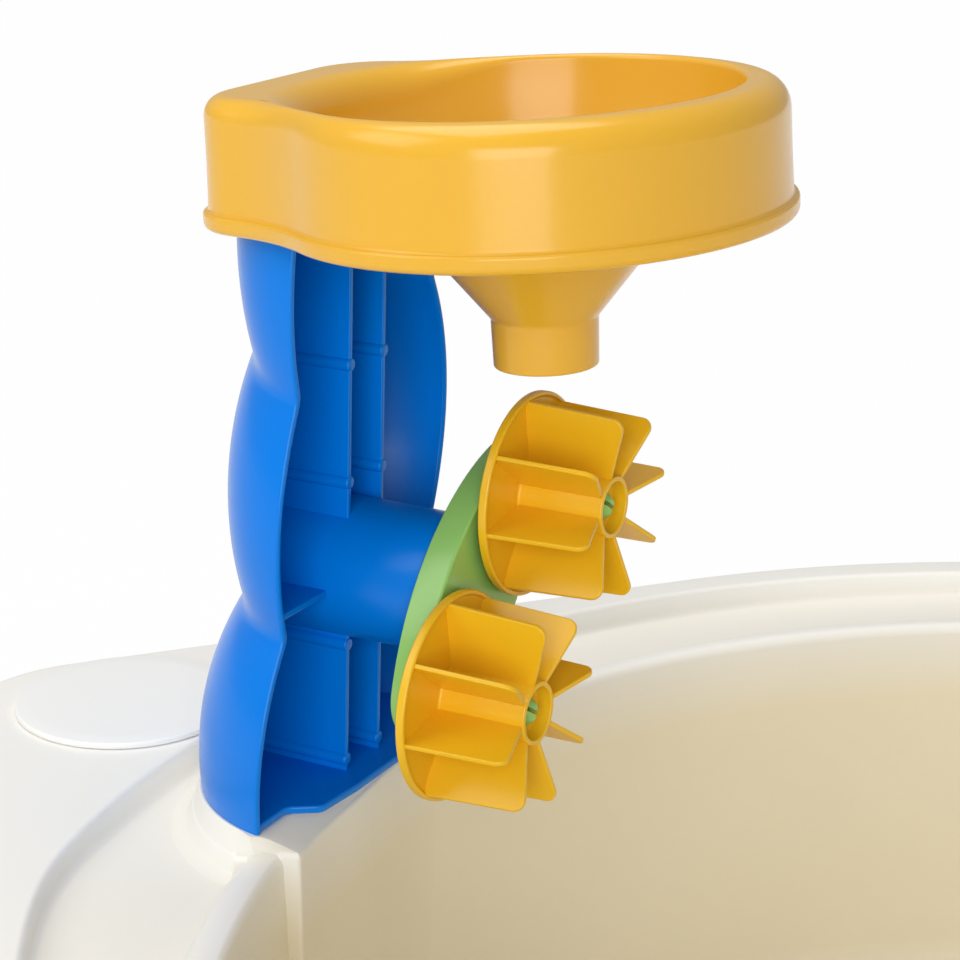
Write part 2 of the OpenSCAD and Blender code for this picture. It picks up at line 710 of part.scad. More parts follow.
// oval of the arm, inset by d
module arm_oval(d) {
    k = arm_c / (arm_big - arm_end_r);
    for (s = [-1, 1]) translate([s * arm_c, 0]) circle(r = arm_end_r - d);
    intersection() {
        for (s = [1]) translate([0, arm_b - arm_big]) circle(r = arm_big - d, $fn = 192);
        translate([0, arm_big - arm_b]) circle(r = arm_big - d, $fn = 192);
        translate([-arm_c - (arm_end_r - d) * k, -arm_b])
            square([2 * (arm_c + (arm_end_r - d) * k), 2 * arm_b]);
    }
}

module spinner_arm() color([0.47, 0.68, 0.3]) translate([arm_x, 0, pivot_z]) along_x() {
    difference() {
        union() {
            rotate([0, 0, arm_angle]) difference() {
                linear_extrude(arm_depth) arm_oval(0);
                translate([0, 0, -1]) linear_extrude(arm_depth - arm_face + 1) arm_oval(arm_t);
            }
            translate([0, 0, -spindle_len]) cylinder(r = spindle_r, h = spindle_len + arm_depth - 1);
            for (s = [-1, 1]) rotate([0, 0, arm_angle]) translate([s * wheel_off, 0, 1])
                cylinder(r = pin_r + arm_t, h = arm_depth - 2);
        }
        for (s = [-1, 1]) rotate([0, 0, arm_angle]) translate([s * wheel_off, 0, -1])
            cylinder(r = pin_r + seat_fit, h = arm_depth + 2);
        translate([0, 0, -spindle_len - 1])
            cylinder(r = screw_r + seat_fit, h = screw_len - washer_t, $fn = 32);
    }
}

module spindle_washer() color([0.7, 0.7, 0.72])
    translate([arm_x - spindle_len - washer_t, 0, pivot_z]) along_x() difference() {
        cylinder(r = washer_r, h = washer_t);
        translate([0, 0, -1]) cylinder(r = screw_r + seat_fit, h = washer_t + 2, $fn = 32);
    }

module spindle_screw() color([0.7, 0.7, 0.72])
    translate([arm_x - spindle_len - washer_t, 0, pivot_z]) along_x() rotate([180, 0, 0])
        screw(screw_len - 3);

// axle pin along +Z, with the arm's face at z = 0
module axle_pin() {
    z_head = collar_t + end_play + bore_len + end_play;
    difference() {
        union() {
            translate([0, 0, 1.5 - arm_depth]) cylinder(r = pin_r, h = z_head + arm_depth);
            cylinder(r = collar_r, h = collar_t);
            translate([0, 0, z_head]) rotate_extrude() polygon([[0, 0], [pin_r + snap_over, 0],
                [pin_r + snap_over, 1], [pin_r + snap_over * 0.6, snap_len * 0.5],
                [pin_r * 0.7, snap_len * 0.87], [pin_r * 0.35, snap_len], [0, snap_len]]);
        }
        translate([-slot_w / 2, -collar_r, z_head - 10]) cube([slot_w, 2 * collar_r, snap_len + 11]);
    }
}

module at_wheel(s) {
    translate([0, 0, pivot_z]) along_x() rotate([0, 0, arm_angle]) translate([s * wheel_off, 0, 0])
        rotate([0, 0, -arm_angle]) children();
}

module upper_axle_pin() color([0.47, 0.68, 0.3])
    translate([pin_x, 0, 0]) at_wheel(1) rotate([0, 0, 50]) axle_pin();

module lower_axle_pin() color([0.47, 0.68, 0.3])
    translate([pin_x, 0, 0]) at_wheel(-1) rotate([0, 0, 50]) axle_pin();

module water_wheel() {
    difference() {
        union() {
            cylinder(r = wheel_r, h = disc_t);
            difference() {
                cylinder(r = wheel_r, h = disc_t + disc_lip);
                cylinder(r = wheel_r - disc_lip_w, h = disc_t + disc_lip + 1);
            }
            cylinder(r = hub_r, h = hub_len);
            for (i = [0:vane_n - 1]) rotate([0, 0, vane_angle + i * 360 / vane_n])
                translate([0, vane_t / 2, 0]) rotate([90, 0, 0]) linear_extrude(vane_t) polygon(concat(
                    [[hub_r - 1, 1], [wheel_r - vane_in, 1]],
                    arc_pts([wheel_r - vane_in - vane_taper - vane_round, vane_len - vane_round],
                        vane_round, 0, 100, 6),
                    [[hub_r - 1, hub_len - 0.4]]));
        }
        translate([0, 0, -1]) cylinder(r = pin_r + run_fit, h = hub_len + 2);
        translate([0, 0, bore_len]) cylinder(r = mouth_r, h = mouth_d + 1);
    }
}

module upper_wheel() color([0.95, 0.7, 0.1]) translate([wheel_x, 0, 0]) at_wheel(1) water_wheel();

module lower_wheel() color([0.95, 0.7, 0.1]) translate([wheel_x, 0, 0]) at_wheel(-1) water_wheel();

basin();
leg_front_left();
leg_front_right();
leg_back_left();
leg_back_right();
leg_feet();
leg_screws();
drain_plug();
round_cover();
tower_shell();
tower_screws();
hopper();
hopper_screws();
spinner_arm();
spindle_washer();
spindle_screw();
upper_axle_pin();
lower_axle_pin();
upper_wheel();
lower_wheel();
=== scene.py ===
"""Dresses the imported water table: smooth moulded pieces, plastic finishes, studio light and the camera."""

from __future__ import annotations

import logging
import math
from dataclasses import dataclass
from enum import Enum
from typing import Sequence

import bmesh
import bpy
import numpy as np
from mathutils import Matrix, Vector


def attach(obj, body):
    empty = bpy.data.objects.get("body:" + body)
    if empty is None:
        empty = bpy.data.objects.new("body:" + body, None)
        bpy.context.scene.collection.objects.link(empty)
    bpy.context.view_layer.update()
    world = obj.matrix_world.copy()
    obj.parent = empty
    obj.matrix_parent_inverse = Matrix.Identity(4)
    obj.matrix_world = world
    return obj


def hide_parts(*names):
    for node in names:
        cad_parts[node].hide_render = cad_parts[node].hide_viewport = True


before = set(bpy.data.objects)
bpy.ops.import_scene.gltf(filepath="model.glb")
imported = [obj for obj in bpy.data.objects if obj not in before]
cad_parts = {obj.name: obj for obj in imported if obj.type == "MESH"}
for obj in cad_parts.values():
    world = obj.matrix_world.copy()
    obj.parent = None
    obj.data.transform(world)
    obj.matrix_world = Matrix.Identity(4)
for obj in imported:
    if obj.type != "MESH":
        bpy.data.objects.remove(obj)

LOG = logging.getLogger("water_table")
MM = 0.001
Point2 = tuple[float, float]
Point3 = tuple[float, float, float]
Tree = bpy.types.NodeTree
Socket = bpy.types.NodeSocket


class Body(str, Enum):
    """The moving bodies that pieces ride on."""

    TABLE = "table"
    SPINNER = "spinner"
    WHEEL_UPPER = "wheel_upper"
    WHEEL_LOWER = "wheel_lower"
    COVER = "cover"
    PLUG = "plug"


class Slot(str, Enum):
    """The record's material slots."""

    BASIN = "cream_plastic"
    COVER = "cover_plastic"
    LEG = "leg_plastic"
    PLUG = "plug_plastic"
    FOOT = "foot_rubber"
    STEEL = "screw_steel"
    TOWER = "blue_plastic"
    HOPPER = "yellow_plastic"
    WHEEL = "orange_plastic"
    ARM = "green_plastic"


# Drawing helpers


def arc(c: Point2, r: float, a0: float, a1: float, n: int) -> list[Point2]:
    """Points on an arc.

    Args:
        c: Centre.
        r: Radius.
        a0: First angle in degrees.
        a1: Last angle in degrees.
        n: Number of steps.

    Returns:
        n + 1 points from a0 to a1.
    """
    return [(c[0] + r * math.cos(math.radians(a0 + (a1 - a0) * i / n)),
             c[1] + r * math.sin(math.radians(a0 + (a1 - a0) * i / n))) for i in range(n + 1)]


def soften(pts: Sequence[Point3], steps: int = 4, closed: bool = False) -> list[Point2]:
    """Rounds the corners of a line.

    Args:
        pts: Corners as (x, y, radius); a radius of 0 keeps the corner.
        steps: Steps in each rounding.
        closed: Whether the last corner joins the first.

    Returns:
        The line with an arc in place of each rounded corner.
    """
    out: list[Point2] = []
    n = len(pts)
    for i, (x, y, r) in enumerate(pts):
        p, a, b = (np.array(pts[k % n][:2], float) for k in (i, i - 1, i + 1))
        if r <= 0 or (not closed and i in (0, n - 1)):
            out.append((x, y))
            continue
        u, v = (a - p) / np.linalg.norm(a - p), (b - p) / np.linalg.norm(b - p)
        turn = math.acos(float(np.clip(u @ v, -1, 1)))
        if turn > math.pi - 0.02:
            out.append((x, y))
            continue
        cut = min(r / math.tan(turn / 2), 0.49 * np.linalg.norm(a - p), 0.49 * np.linalg.norm(b - p))
        rr = cut * math.tan(turn / 2)
        mid = (u + v) / np.linalg.norm(u + v)
        c = p + mid * rr / math.sin(turn / 2)
        s, e = p + u * cut - c, p + v * cut - c
        a0, a1 = math.atan2(s[1], s[0]), math.atan2(e[1], e[0])
        d = (a1 - a0 + math.pi) % (2 * math.pi) - math.pi
        out += [(c[0] + rr * math.cos(a0 + d * k / steps), c[1] + rr * math.sin(a0 + d * k / steps))
                for k in range(steps + 1)]
    return out


def outward(pts: np.ndarray) -> np.ndarray:
    """Unit normals of a closed anticlockwise line.

    Args:
        pts: Array of n by 2 points.

    Returns:
        Array of n by 2 outward normals.
    """
    t = np.roll(pts, -1, 0) - np.roll(pts, 1, 0)
    nrm = np.stack([t[:, 1], -t[:, 0]], 1)
    return nrm / np.linalg.norm(nrm, axis=1, keepdims=True)


def drawn_in(p: np.ndarray, nrm: np.ndarray, steps: Sequence[Point2]) -> np.ndarray:
    """Rings made from one flat line.

    Args:
        p: The line's points.
        nrm: Its outward normals.
        steps: How far each ring is drawn in, and its height.

    Returns:
        Array of rings by points by 3.
    """
    return np.stack([np.concatenate([p - nrm * d, np.full((len(p), 1), z)], 1) for d, z in steps])


def ease(k: np.ndarray | float) -> np.ndarray | float:
    """Goes softly from 0 to 1 where k goes from 0 to 1."""
    k = np.clip(k, 0.0, 1.0)
    return k * k * (3 - 2 * k)


def move(x: float, y: float, z: float) -> Matrix:
    """Frame shifted to a point."""
    return Matrix.Translation((x, y, z))


def spin(deg: float, axis: str) -> Matrix:
    """Frame turned about one of its axes."""
    return Matrix.Rotation(math.radians(deg), 4, axis)


def along_x(x: float, y: float, z: float) -> Matrix:
    """Frame at a point with local z along +X, local x along +Y and local y along +Z."""
    return move(x, y, z) @ Matrix(((0, 0, 1, 0), (1, 0, 0, 0), (0, 1, 0, 0), (0, 0, 0, 1)))


class Shape:
    """Collects vertices and faces in millimetres and turns them into a mesh object."""

    def __init__(self) -> None:
        """Starts an empty shape."""
        self.verts: list[Point3] = []
        self.faces: list[tuple[int, ...]] = []

    def add(self, pts: np.ndarray, at: Matrix | None = None) -> int:
        """Adds points.

        Args:
            pts: Array of n by 3 points.
            at: Frame that the points are given in.

        Returns:
            Index of the first new vertex.
        """
        start = len(self.verts)
        if at is not None:
            m = np.array(at)
            pts = pts @ m[:3, :3].T + m[:3, 3]
        self.verts += [tuple(p) for p in pts.tolist()]
        return start

    def grid(self, pts: np.ndarray, wrap_rows: bool = False, wrap_cols: bool = False,
             at: Matrix | None = None) -> int:
        """Adds a sheet of quads.

        Args:
            pts: Array of rows by columns by 3 points.
            wrap_rows: Whether the last row joins the first.
            wrap_cols: Whether the last column joins the first.
            at: Frame that the points are given in.

        Returns:
            Index of the first new vertex.
        """
        nr, nc = pts.shape[:2]
        s = self.add(pts.reshape(-1, 3), at)
        for i in range(nr if wrap_rows else nr - 1):
            for j in range(nc if wrap_cols else nc - 1):
                a, b = s + i * nc, s + ((i + 1) % nr) * nc
                k = (j + 1) % nc
                self.faces.append((a + j, a + k, b + k, b + j))
        return s

    def fan(self, row: int, n: int, tip: Point3, first: bool, at: Matrix | None = None) -> None:
        """Closes a ring with triangles to a point.

        Args:
            row: Index of the ring's first vertex.
            n: Number of its vertices.
            tip: The point.
            first: Whether the ring is the first of its sheet, not the last.
            at: Frame that the point is given in.
        """
        t = self.add(np.array([tip]), at)
        for j in range(n):
            k = (j + 1) % n
            self.faces.append((row + k, row + j, t) if first else (row + j, row + k, t))

    def stack(self, rings: np.ndarray, at: Matrix | None = None) -> None:
        """Adds rings as a body that is closed at both ends.

        Args:
            rings: Array of rings by points by 3.
            at: Frame that the points are given in.
        """
        s = self.grid(rings, wrap_cols=True, at=at)
        n = rings.shape[1]
        last = s + (len(rings) - 1) * n
        self.faces.append(tuple(range(s + n - 1, s - 1, -1)))
        self.faces.append(tuple(range(last, last + n)))

    def lathe(self, profile: Sequence[Point2], steps: int, at: Matrix, loop: bool = False) -> None:
        """Turns a profile about the local z axis.

        Args:
            profile: Points as (radius, height); a radius of 0 at an end closes it.
            steps: Number of steps round the axis.
            at: Frame that the profile is given in.
            loop: Whether the profile is a closed loop.
        """
        a = np.linspace(0, 2 * math.pi, steps, endpoint=False)
        pts = np.array(profile, float)
        tips = [not loop and pts[k, 0] < 1e-6 for k in (0, -1)]
        heights = pts[[0, -1], 1]
        pts = pts[int(tips[0]):len(pts) - int(tips[1])]
        g = np.stack([pts[:, :1] * np.cos(a), pts[:, :1] * np.sin(a), np.repeat(pts[:, 1:], steps, 1)], -1)
        s = self.grid(g, wrap_rows=loop, wrap_cols=True, at=at)
        for first, closed, z in zip((True, False), tips, heights):
            if closed:
                self.fan(s if first else s + (len(pts) - 1) * steps, steps, (0.0, 0.0, z), first, at)

    def turn(self, corners: Sequence[Point3], fine: int, steps: int, at: Matrix, loop: bool = False) -> None:
        """Turns a profile with rounded corners about the local z axis.

        Args:
            corners: Corners as (radius, height, rounding).
            fine: Steps in each rounding.
            steps: Number of steps round the axis.
            at: Frame that the profile is given in.
            loop: Whether the profile is a closed loop.
        """
        self.lathe(soften(corners, fine, loop), steps, at, loop)

    def slab(self, outline: Sequence[Point2], z0: float, z1: float, edge: float, at: Matrix) -> None:
        """Adds a plate with rounded edges.

        Args:
            outline: Anticlockwise outline.
            z0: Lower face.
            z1: Upper face.
            edge: Radius of the edges.
            at: Frame that the outline is given in.
        """
        p = np.array(outline, float)
        bends = [(edge * math.sin(a), edge * math.cos(a)) for a in np.linspace(0, math.pi / 2, 4)]
        rings = [(edge - s, z0 + edge - c) for s, c in bends] + [(edge - c, z1 - edge + s) for s, c in bends]
        self.stack(drawn_in(p, outward(p), rings), at)

    def join(self, other: Shape, at: Matrix) -> None:
        """Takes over the faces of another shape.

        Args:
            other: The other shape.
            at: Frame that the other shape is given in.
        """
        s = self.add(np.array(other.verts), at)
        self.faces += [tuple(s + i for i in f) for f in other.faces]

    def cut(self, tool: Shape) -> Shape:
        """Cuts a closed shape out of this one.

        Args:
            tool: What is taken away.

        Returns:
            What is left.
        """
        body, knife = self.mesh_object("cut_body"), tool.mesh_object("cut_tool")
        body.modifiers.clear()
        step = body.modifiers.new("cut", "BOOLEAN")
        step.operation = "DIFFERENCE"
        step.solver = "EXACT"
        step.object = knife
        bpy.context.view_layer.update()
        mesh = body.evaluated_get(bpy.context.evaluated_depsgraph_get()).to_mesh()
        left = Shape()
        left.verts = [tuple(v.co / MM) for v in mesh.vertices]
        left.faces = [tuple(p.vertices) for p in mesh.polygons]
        for obj in (body, knife):
            data = obj.data
            bpy.data.objects.remove(obj)
            bpy.data.meshes.remove(data)
        return left

    def mesh_object(self, name: str, sharp: float = 38.0) -> bpy.types.Object:
        """Makes the mesh object in metres.

        Args:
            name: Name of the piece.
            sharp: Angle in degrees above which an edge stays crisp.

        Returns:
            The new object, linked to the scene.
        """
        mesh = bpy.data.meshes.new(name)
        mesh.from_pydata([(x * MM, y * MM, z * MM) for x, y, z in self.verts], [], self.faces)
        bm = bmesh.new()
        bm.from_mesh(mesh)
        bmesh.ops.remove_doubles(bm, verts=bm.verts, dist=2e-6)
        bmesh.ops.recalc_face_normals(bm, faces=bm.faces)
        bm.to_mesh(mesh)
        bm.free()
        for p in mesh.polygons:
            p.use_smooth = True
        mesh.set_sharp_from_angle(angle=math.radians(sharp))
        obj = bpy.data.objects.new(name, mesh)
        bpy.context.scene.collection.objects.link(obj)
        even = obj.modifiers.new("even_normals", "WEIGHTED_NORMAL")
        even.keep_sharp = True
        even.weight = 60
        return obj


# Finishes


def linear(rgb: tuple[int, int, int]) -> tuple[float, float, float, float]:
    """Turns an 8-bit screen colour into the renderer's linear colour."""
    v = [c / 255 for c in rgb]
    return (*(c / 12.92 if c <= 0.04045 else ((c + 0.055) / 1.055) ** 2.4 for c in v), 1.0)


@dataclass
class GroupMaker:
    """Builds the shader node groups that several finishes share, with heights in metres."""

    # Heights in metres where the painted warm shade deep in the pool begins and where it is full.
    pool_shade_from: float = 0.427
    pool_shade_full: float = 0.395

    def __post_init__(self) -> None:
        """Builds each group once."""
        self.tone = self._tone_drift_and_painted_shade()
        self.skin = self._moulded_skin()
        self.scuff = self._handling_scuffs()

    @staticmethod
    def place(tree: Tree, group: Tree, **values: float | tuple) -> bpy.types.Node:
        """Places a shared group in a material.

        Args:
            tree: The material's nodes.
            group: The group.
            values: Values of the group's inputs.

        Returns:
            The placed node.
        """
        n = tree.nodes.new("ShaderNodeGroup")
        n.node_tree = group
        for k, v in values.items():
            n.inputs[k].default_value = v
        return n

    @staticmethod
    def _start(name: str, ins: dict[str, float | None], out: str, kind: str = "NodeSocketFloat") -> tuple:
        """Starts a group.

        Args:
            name: Name of the group.
            ins: Default of each input, or None for a colour.
            out: Name of the output.
            kind: Socket type of the output.

        Returns:
            The group, its given values, its output sockets and the object coordinates.
        """
        g = bpy.data.node_groups.new(name, "ShaderNodeTree")
        for n, value in ins.items():
            colour = value is None
            s = g.interface.new_socket(
                n, in_out="INPUT", socket_type="NodeSocketColor" if colour else "NodeSocketFloat")
            if not colour:
                s.default_value = value
        g.interface.new_socket(out, in_out="OUTPUT", socket_type=kind)
        where = g.nodes.new("ShaderNodeTexCoord").outputs["Object"]
        return g, g.nodes.new("NodeGroupInput").outputs, g.nodes.new("NodeGroupOutput").inputs, where

    @staticmethod
    def _noise(g: Tree, coord: Socket, scale: float, detail: float) -> Socket:
        """Adds a noise texture.

        Args:
            g: The tree.
            coord: Coordinates to read.
            scale: Scale per metre.
            detail: Octaves.

        Returns:
            Its value.
        """
        n = g.nodes.new("ShaderNodeTexNoise")
        n.inputs["Scale"].default_value = scale
        n.inputs["Detail"].default_value = detail
        g.links.new(coord, n.inputs["Vector"])
        return n.outputs["Fac"]

    @staticmethod
    def _math(g: Tree, operation: str, *values: float | Socket) -> Socket:
        """Adds a sum.

        Args:
            g: The tree.
            operation: What is done.
            values: Numbers or sockets that it is done with.

        Returns:
            The result.
        """
        n = g.nodes.new("ShaderNodeMath")
        n.operation = operation
        for socket, v in zip(n.inputs, values):
            if isinstance(v, float):
                socket.default_value = v
            else:
                g.links.new(v, socket)
        return n.outputs[0]

    @staticmethod
    def _between(g: Tree, value: Socket, v0: float, v1: float) -> Socket:
        """Adds a ramp from 0 to 1.

        Args:
            g: The tree.
            value: What is read.
            v0: Value that gives 0.
            v1: Value that gives 1.

        Returns:
            The result.
        """
        n = g.nodes.new("ShaderNodeMapRange")
        n.inputs["From Min"].default_value = v0
        n.inputs["From Max"].default_value = v1
        g.links.new(value, n.inputs["Value"])
        return n.outputs[0]

    def _tone_drift_and_painted_shade(self) -> Tree:
        """Makes the group that lets a colour drift at random over a moulding and mixes in a painted warm
        shade low down in the pool.

        Returns:
            The group.
        """
        ins = {"Color": None, "Low": None, "Lower": 0.0, "Amount": 0.06}
        g, given, out, where = self._start("tone_drift_and_painted_shade", ins, "Color", "NodeSocketColor")
        big, small = self._noise(g, where, 9.0, 2.0), self._noise(g, where, 160.0, 3.0)
        drift = self._math(g, "SUBTRACT", self._math(g, "MULTIPLY_ADD", small, 0.35, big), 0.675)
        gain = self._math(g, "MULTIPLY_ADD", drift, given["Amount"], 1.0)
        # Painted shade: lower down, the colour is mixed towards the warm shade colour, which stands in for
        # the darker, warmer light deep in the pool. The random drift is the plastic's own colour variation.
        xyz = g.nodes.new("ShaderNodeSeparateXYZ")
        g.links.new(where, xyz.inputs[0])
        depth = self._between(g, xyz.outputs["Z"], self.pool_shade_from, self.pool_shade_full)
        blend = g.nodes.new("ShaderNodeMix")
        blend.data_type = "RGBA"
        g.links.new(self._math(g, "MULTIPLY", depth, given["Lower"]), blend.inputs["Factor"])
        g.links.new(given["Color"], blend.inputs["A"])
        g.links.new(given["Low"], blend.inputs["B"])
        hsv = g.nodes.new("ShaderNodeHueSaturation")
        g.links.new(gain, hsv.inputs["Value"])
        g.links.new(blend.outputs["Result"], hsv.inputs["Color"])
        g.links.new(hsv.outputs["Color"], out["Color"])
        return g

    def _moulded_skin(self) -> Tree:
        """Makes the group that gives the fine height of a moulded plastic skin.

        Returns:
            The group.
        """
        g, given, out, where = self._start("moulded_skin", {"Grain": 0.5, "Ripple": 0.5}, "Height")
        fine = self._math(g, "MULTIPLY", self._noise(g, where, 1900.0, 2.0), given["Grain"])
        slow = self._noise(g, where, 55.0, 1.0)
        g.links.new(self._math(g, "MULTIPLY_ADD", slow, given["Ripple"], fine), out["Height"])
        return g

    def _handling_scuffs(self) -> Tree:
        """Makes the group that varies roughness with faint scuffs and wiped patches.

        Returns:
            The group.
        """
        g, given, out, where = self._start("handling_scuffs", {"Base": 0.3, "Spread": 0.1}, "Roughness")
        stretch = g.nodes.new("ShaderNodeMapping")
        stretch.inputs["Rotation"].default_value = (0.4, 0.2, 0.7)
        stretch.inputs["Scale"].default_value = (1.0, 7.0, 1.0)
        g.links.new(where, stretch.inputs["Vector"])
        lines = self._between(g, self._noise(g, stretch.outputs["Vector"], 120.0, 4.0), 0.58, 0.78)
        both = self._math(g, "MULTIPLY_ADD", lines, 0.6, self._noise(g, where, 22.0, 2.0))
        g.links.new(self._math(g, "MULTIPLY_ADD", both, given["Spread"], given["Base"]), out["Roughness"])
        return g


@dataclass(frozen=True)
class Finish:
    """One moulded or metal finish."""

    name: str
    colour: tuple[int, int, int]
    roughness: float = 0.3
    spread: float = 0.08
    drift: float = 0.06
    # low is the painted warm shade colour mixed in deep in the pool; lower is how much of it is mixed in.
    low: tuple[int, int, int] = (255, 255, 255)
    lower: float = 0.0
    grain: float = 0.4
    ripple: float = 0.4
    bump: float = 0.05
    bump_deep: float = 0.0006
    metallic: float = 0.0
    coat: float = 0.0
    coat_rough: float = 0.08
    shine: float = 0.5

    def material(self, groups: GroupMaker) -> bpy.types.Material:
        """Builds the material.

        Args:
            groups: The shared node groups.

        Returns:
            The material.
        """
        m = bpy.data.materials.new(self.name)
        m.use_nodes = True
        t = m.node_tree
        bsdf = t.nodes["Principled BSDF"].inputs
        bsdf["Metallic"].default_value = self.metallic
        bsdf["Coat Weight"].default_value = self.coat
        bsdf["Coat Roughness"].default_value = self.coat_rough
        bsdf["Specular IOR Level"].default_value = self.shine
        tone = groups.place(t, groups.tone, Color=linear(self.colour), Low=linear(self.low), Lower=self.lower,
                            Amount=self.drift)
        scuff = groups.place(t, groups.scuff, Base=self.roughness, Spread=self.spread)
        skin = groups.place(t, groups.skin, Grain=self.grain, Ripple=self.ripple)
        bump = t.nodes.new("ShaderNodeBump")
        bump.inputs["Strength"].default_value = self.bump
        bump.inputs["Distance"].default_value = self.bump_deep
        t.links.new(tone.outputs["Color"], bsdf["Base Color"])
        t.links.new(scuff.outputs["Roughness"], bsdf["Roughness"])
        t.links.new(skin.outputs["Height"], bump.inputs["Height"])
        t.links.new(bump.outputs["Normal"], bsdf["Normal"])
        return m


FINISHES: dict[Slot, Finish] = {
    # The basin's low colour is a painted warm shade deep in the pool.
    Slot.BASIN: Finish("basin_cream", (240, 238, 231), roughness=0.3, spread=0.1, drift=0.05, grain=0.5,
                       bump=0.06, low=(236, 226, 200), lower=1.0),
    Slot.COVER: Finish("cover_cream", (240, 239, 235), roughness=0.34, spread=0.1, drift=0.04, grain=0.5,
                       bump=0.06),
    Slot.LEG: Finish("leg_cream", (238, 235, 226), roughness=0.34, spread=0.1, drift=0.05, grain=0.5,
                     bump=0.06),
    Slot.PLUG: Finish("plug_blue", (0, 122, 224), roughness=0.26),
    Slot.FOOT: Finish("foot_rubber", (38, 38, 40), roughness=0.62, spread=0.15, grain=0.9, bump=0.15),
    Slot.STEEL: Finish("screw_steel", (176, 178, 180), roughness=0.28, metallic=1.0, bump=0.03),
    Slot.TOWER: Finish("tower_blue", (0, 122, 224), roughness=0.22, spread=0.03, drift=0.05, shine=0.22),
    Slot.HOPPER: Finish("hopper_yellow", (229, 175, 50), roughness=0.2, spread=0.05, drift=0.05, coat=0.1,
                        shine=0.4),
    Slot.WHEEL: Finish("wheel_orange", (238, 188, 30), roughness=0.28, spread=0.05, drift=0.06),
    Slot.ARM: Finish("arm_green", (145, 200, 107), roughness=0.2, spread=0.05, drift=0.05),
}


class Dresser:
    """Gives pieces their finish and body."""

    def __init__(self) -> None:
        """Builds the shared groups and one material for each slot."""
        groups = GroupMaker()
        self.materials = {s: f.material(groups) for s, f in FINISHES.items()}

    def piece(self, obj: bpy.types.Object, slot: Slot, body: Body, *nodes: str) -> None:
        """Finishes a new piece that stands for CAD nodes.

        Args:
            obj: The piece.
            slot: Its material slot.
            body: The body that it rides on.
            nodes: The CAD nodes that it replaces.
        """
        obj.data.materials.clear()
        obj.data.materials.append(self.materials[slot])
        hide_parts(*nodes)
        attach(obj, body.value)
        LOG.info("piece %s: %d faces for %s", obj.name, len(obj.data.polygons), ", ".join(nodes))

    def node(self, name: str, slot: Slot) -> None:
        """Finishes a CAD node that is shown as it is.

        Args:
            name: The node.
            slot: Its material slot.
        """
        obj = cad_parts[name]
        obj.data.materials.clear()
        obj.data.materials.append(self.materials[slot])
        LOG.info("node %s kept", name)


# Sub-assemblies


@dataclass
class Layout:
    """Where the sub-assemblies stand and the sizes they share, in millimetres."""

    pool_x: float = 52.5
    lobe_x: float = -384.5
    tower_x: float = -255.5
    deck_z: float = 430.0
    pad_z: float = 436.5
    floor_z: float = 255.0
    pivot_h: float = 80.0
    seat_up: float = 133.4
    hopper_tilt: float = 2.9
    arm_x: float = -222.45
    arm_depth: float = 11.6
    arm_angle: float = 45.0
    pin_x: float = -210.85
    wheel_x: float = -208.5
    wheel_off: float = 40.65
    cover_y: float = 16.0
    drain_r: float = 12.0
    drain_at: float = 190.0
    drain_angle: float = -40.0
    screw_r: float = 2.1

    @property
    def pivot_z(self) -> float:
        """Height of the spinner's axis."""
        return self.pad_z + self.pivot_h

    @property
    def cover(self) -> Matrix:
        """Frame of the cover on the deck."""
        return move(self.lobe_x, self.cover_y, self.deck_z)

    def round_pool(self, r: float, deg: float, z: float = 0.0) -> Matrix:
        """Frame at a distance and a direction from the pool's centre."""
        a = math.radians(deg)
        return move(self.pool_x + r * math.cos(a), r * math.sin(a), z)

    def wheel_at(self, sign: int) -> tuple[float, float]:
        """Place of a wheel's axis.

        Args:
            sign: 1 for the upper wheel and -1 for the lower one.

        Returns:
            Its y and z.
        """
        a = math.radians(self.arm_angle)
        return sign * self.wheel_off * math.cos(a), self.pivot_z + sign * self.wheel_off * math.sin(a)


@dataclass
class SubAssembly:
    """What every sub-assembly is given."""

    at: Layout
    dresser: Dresser


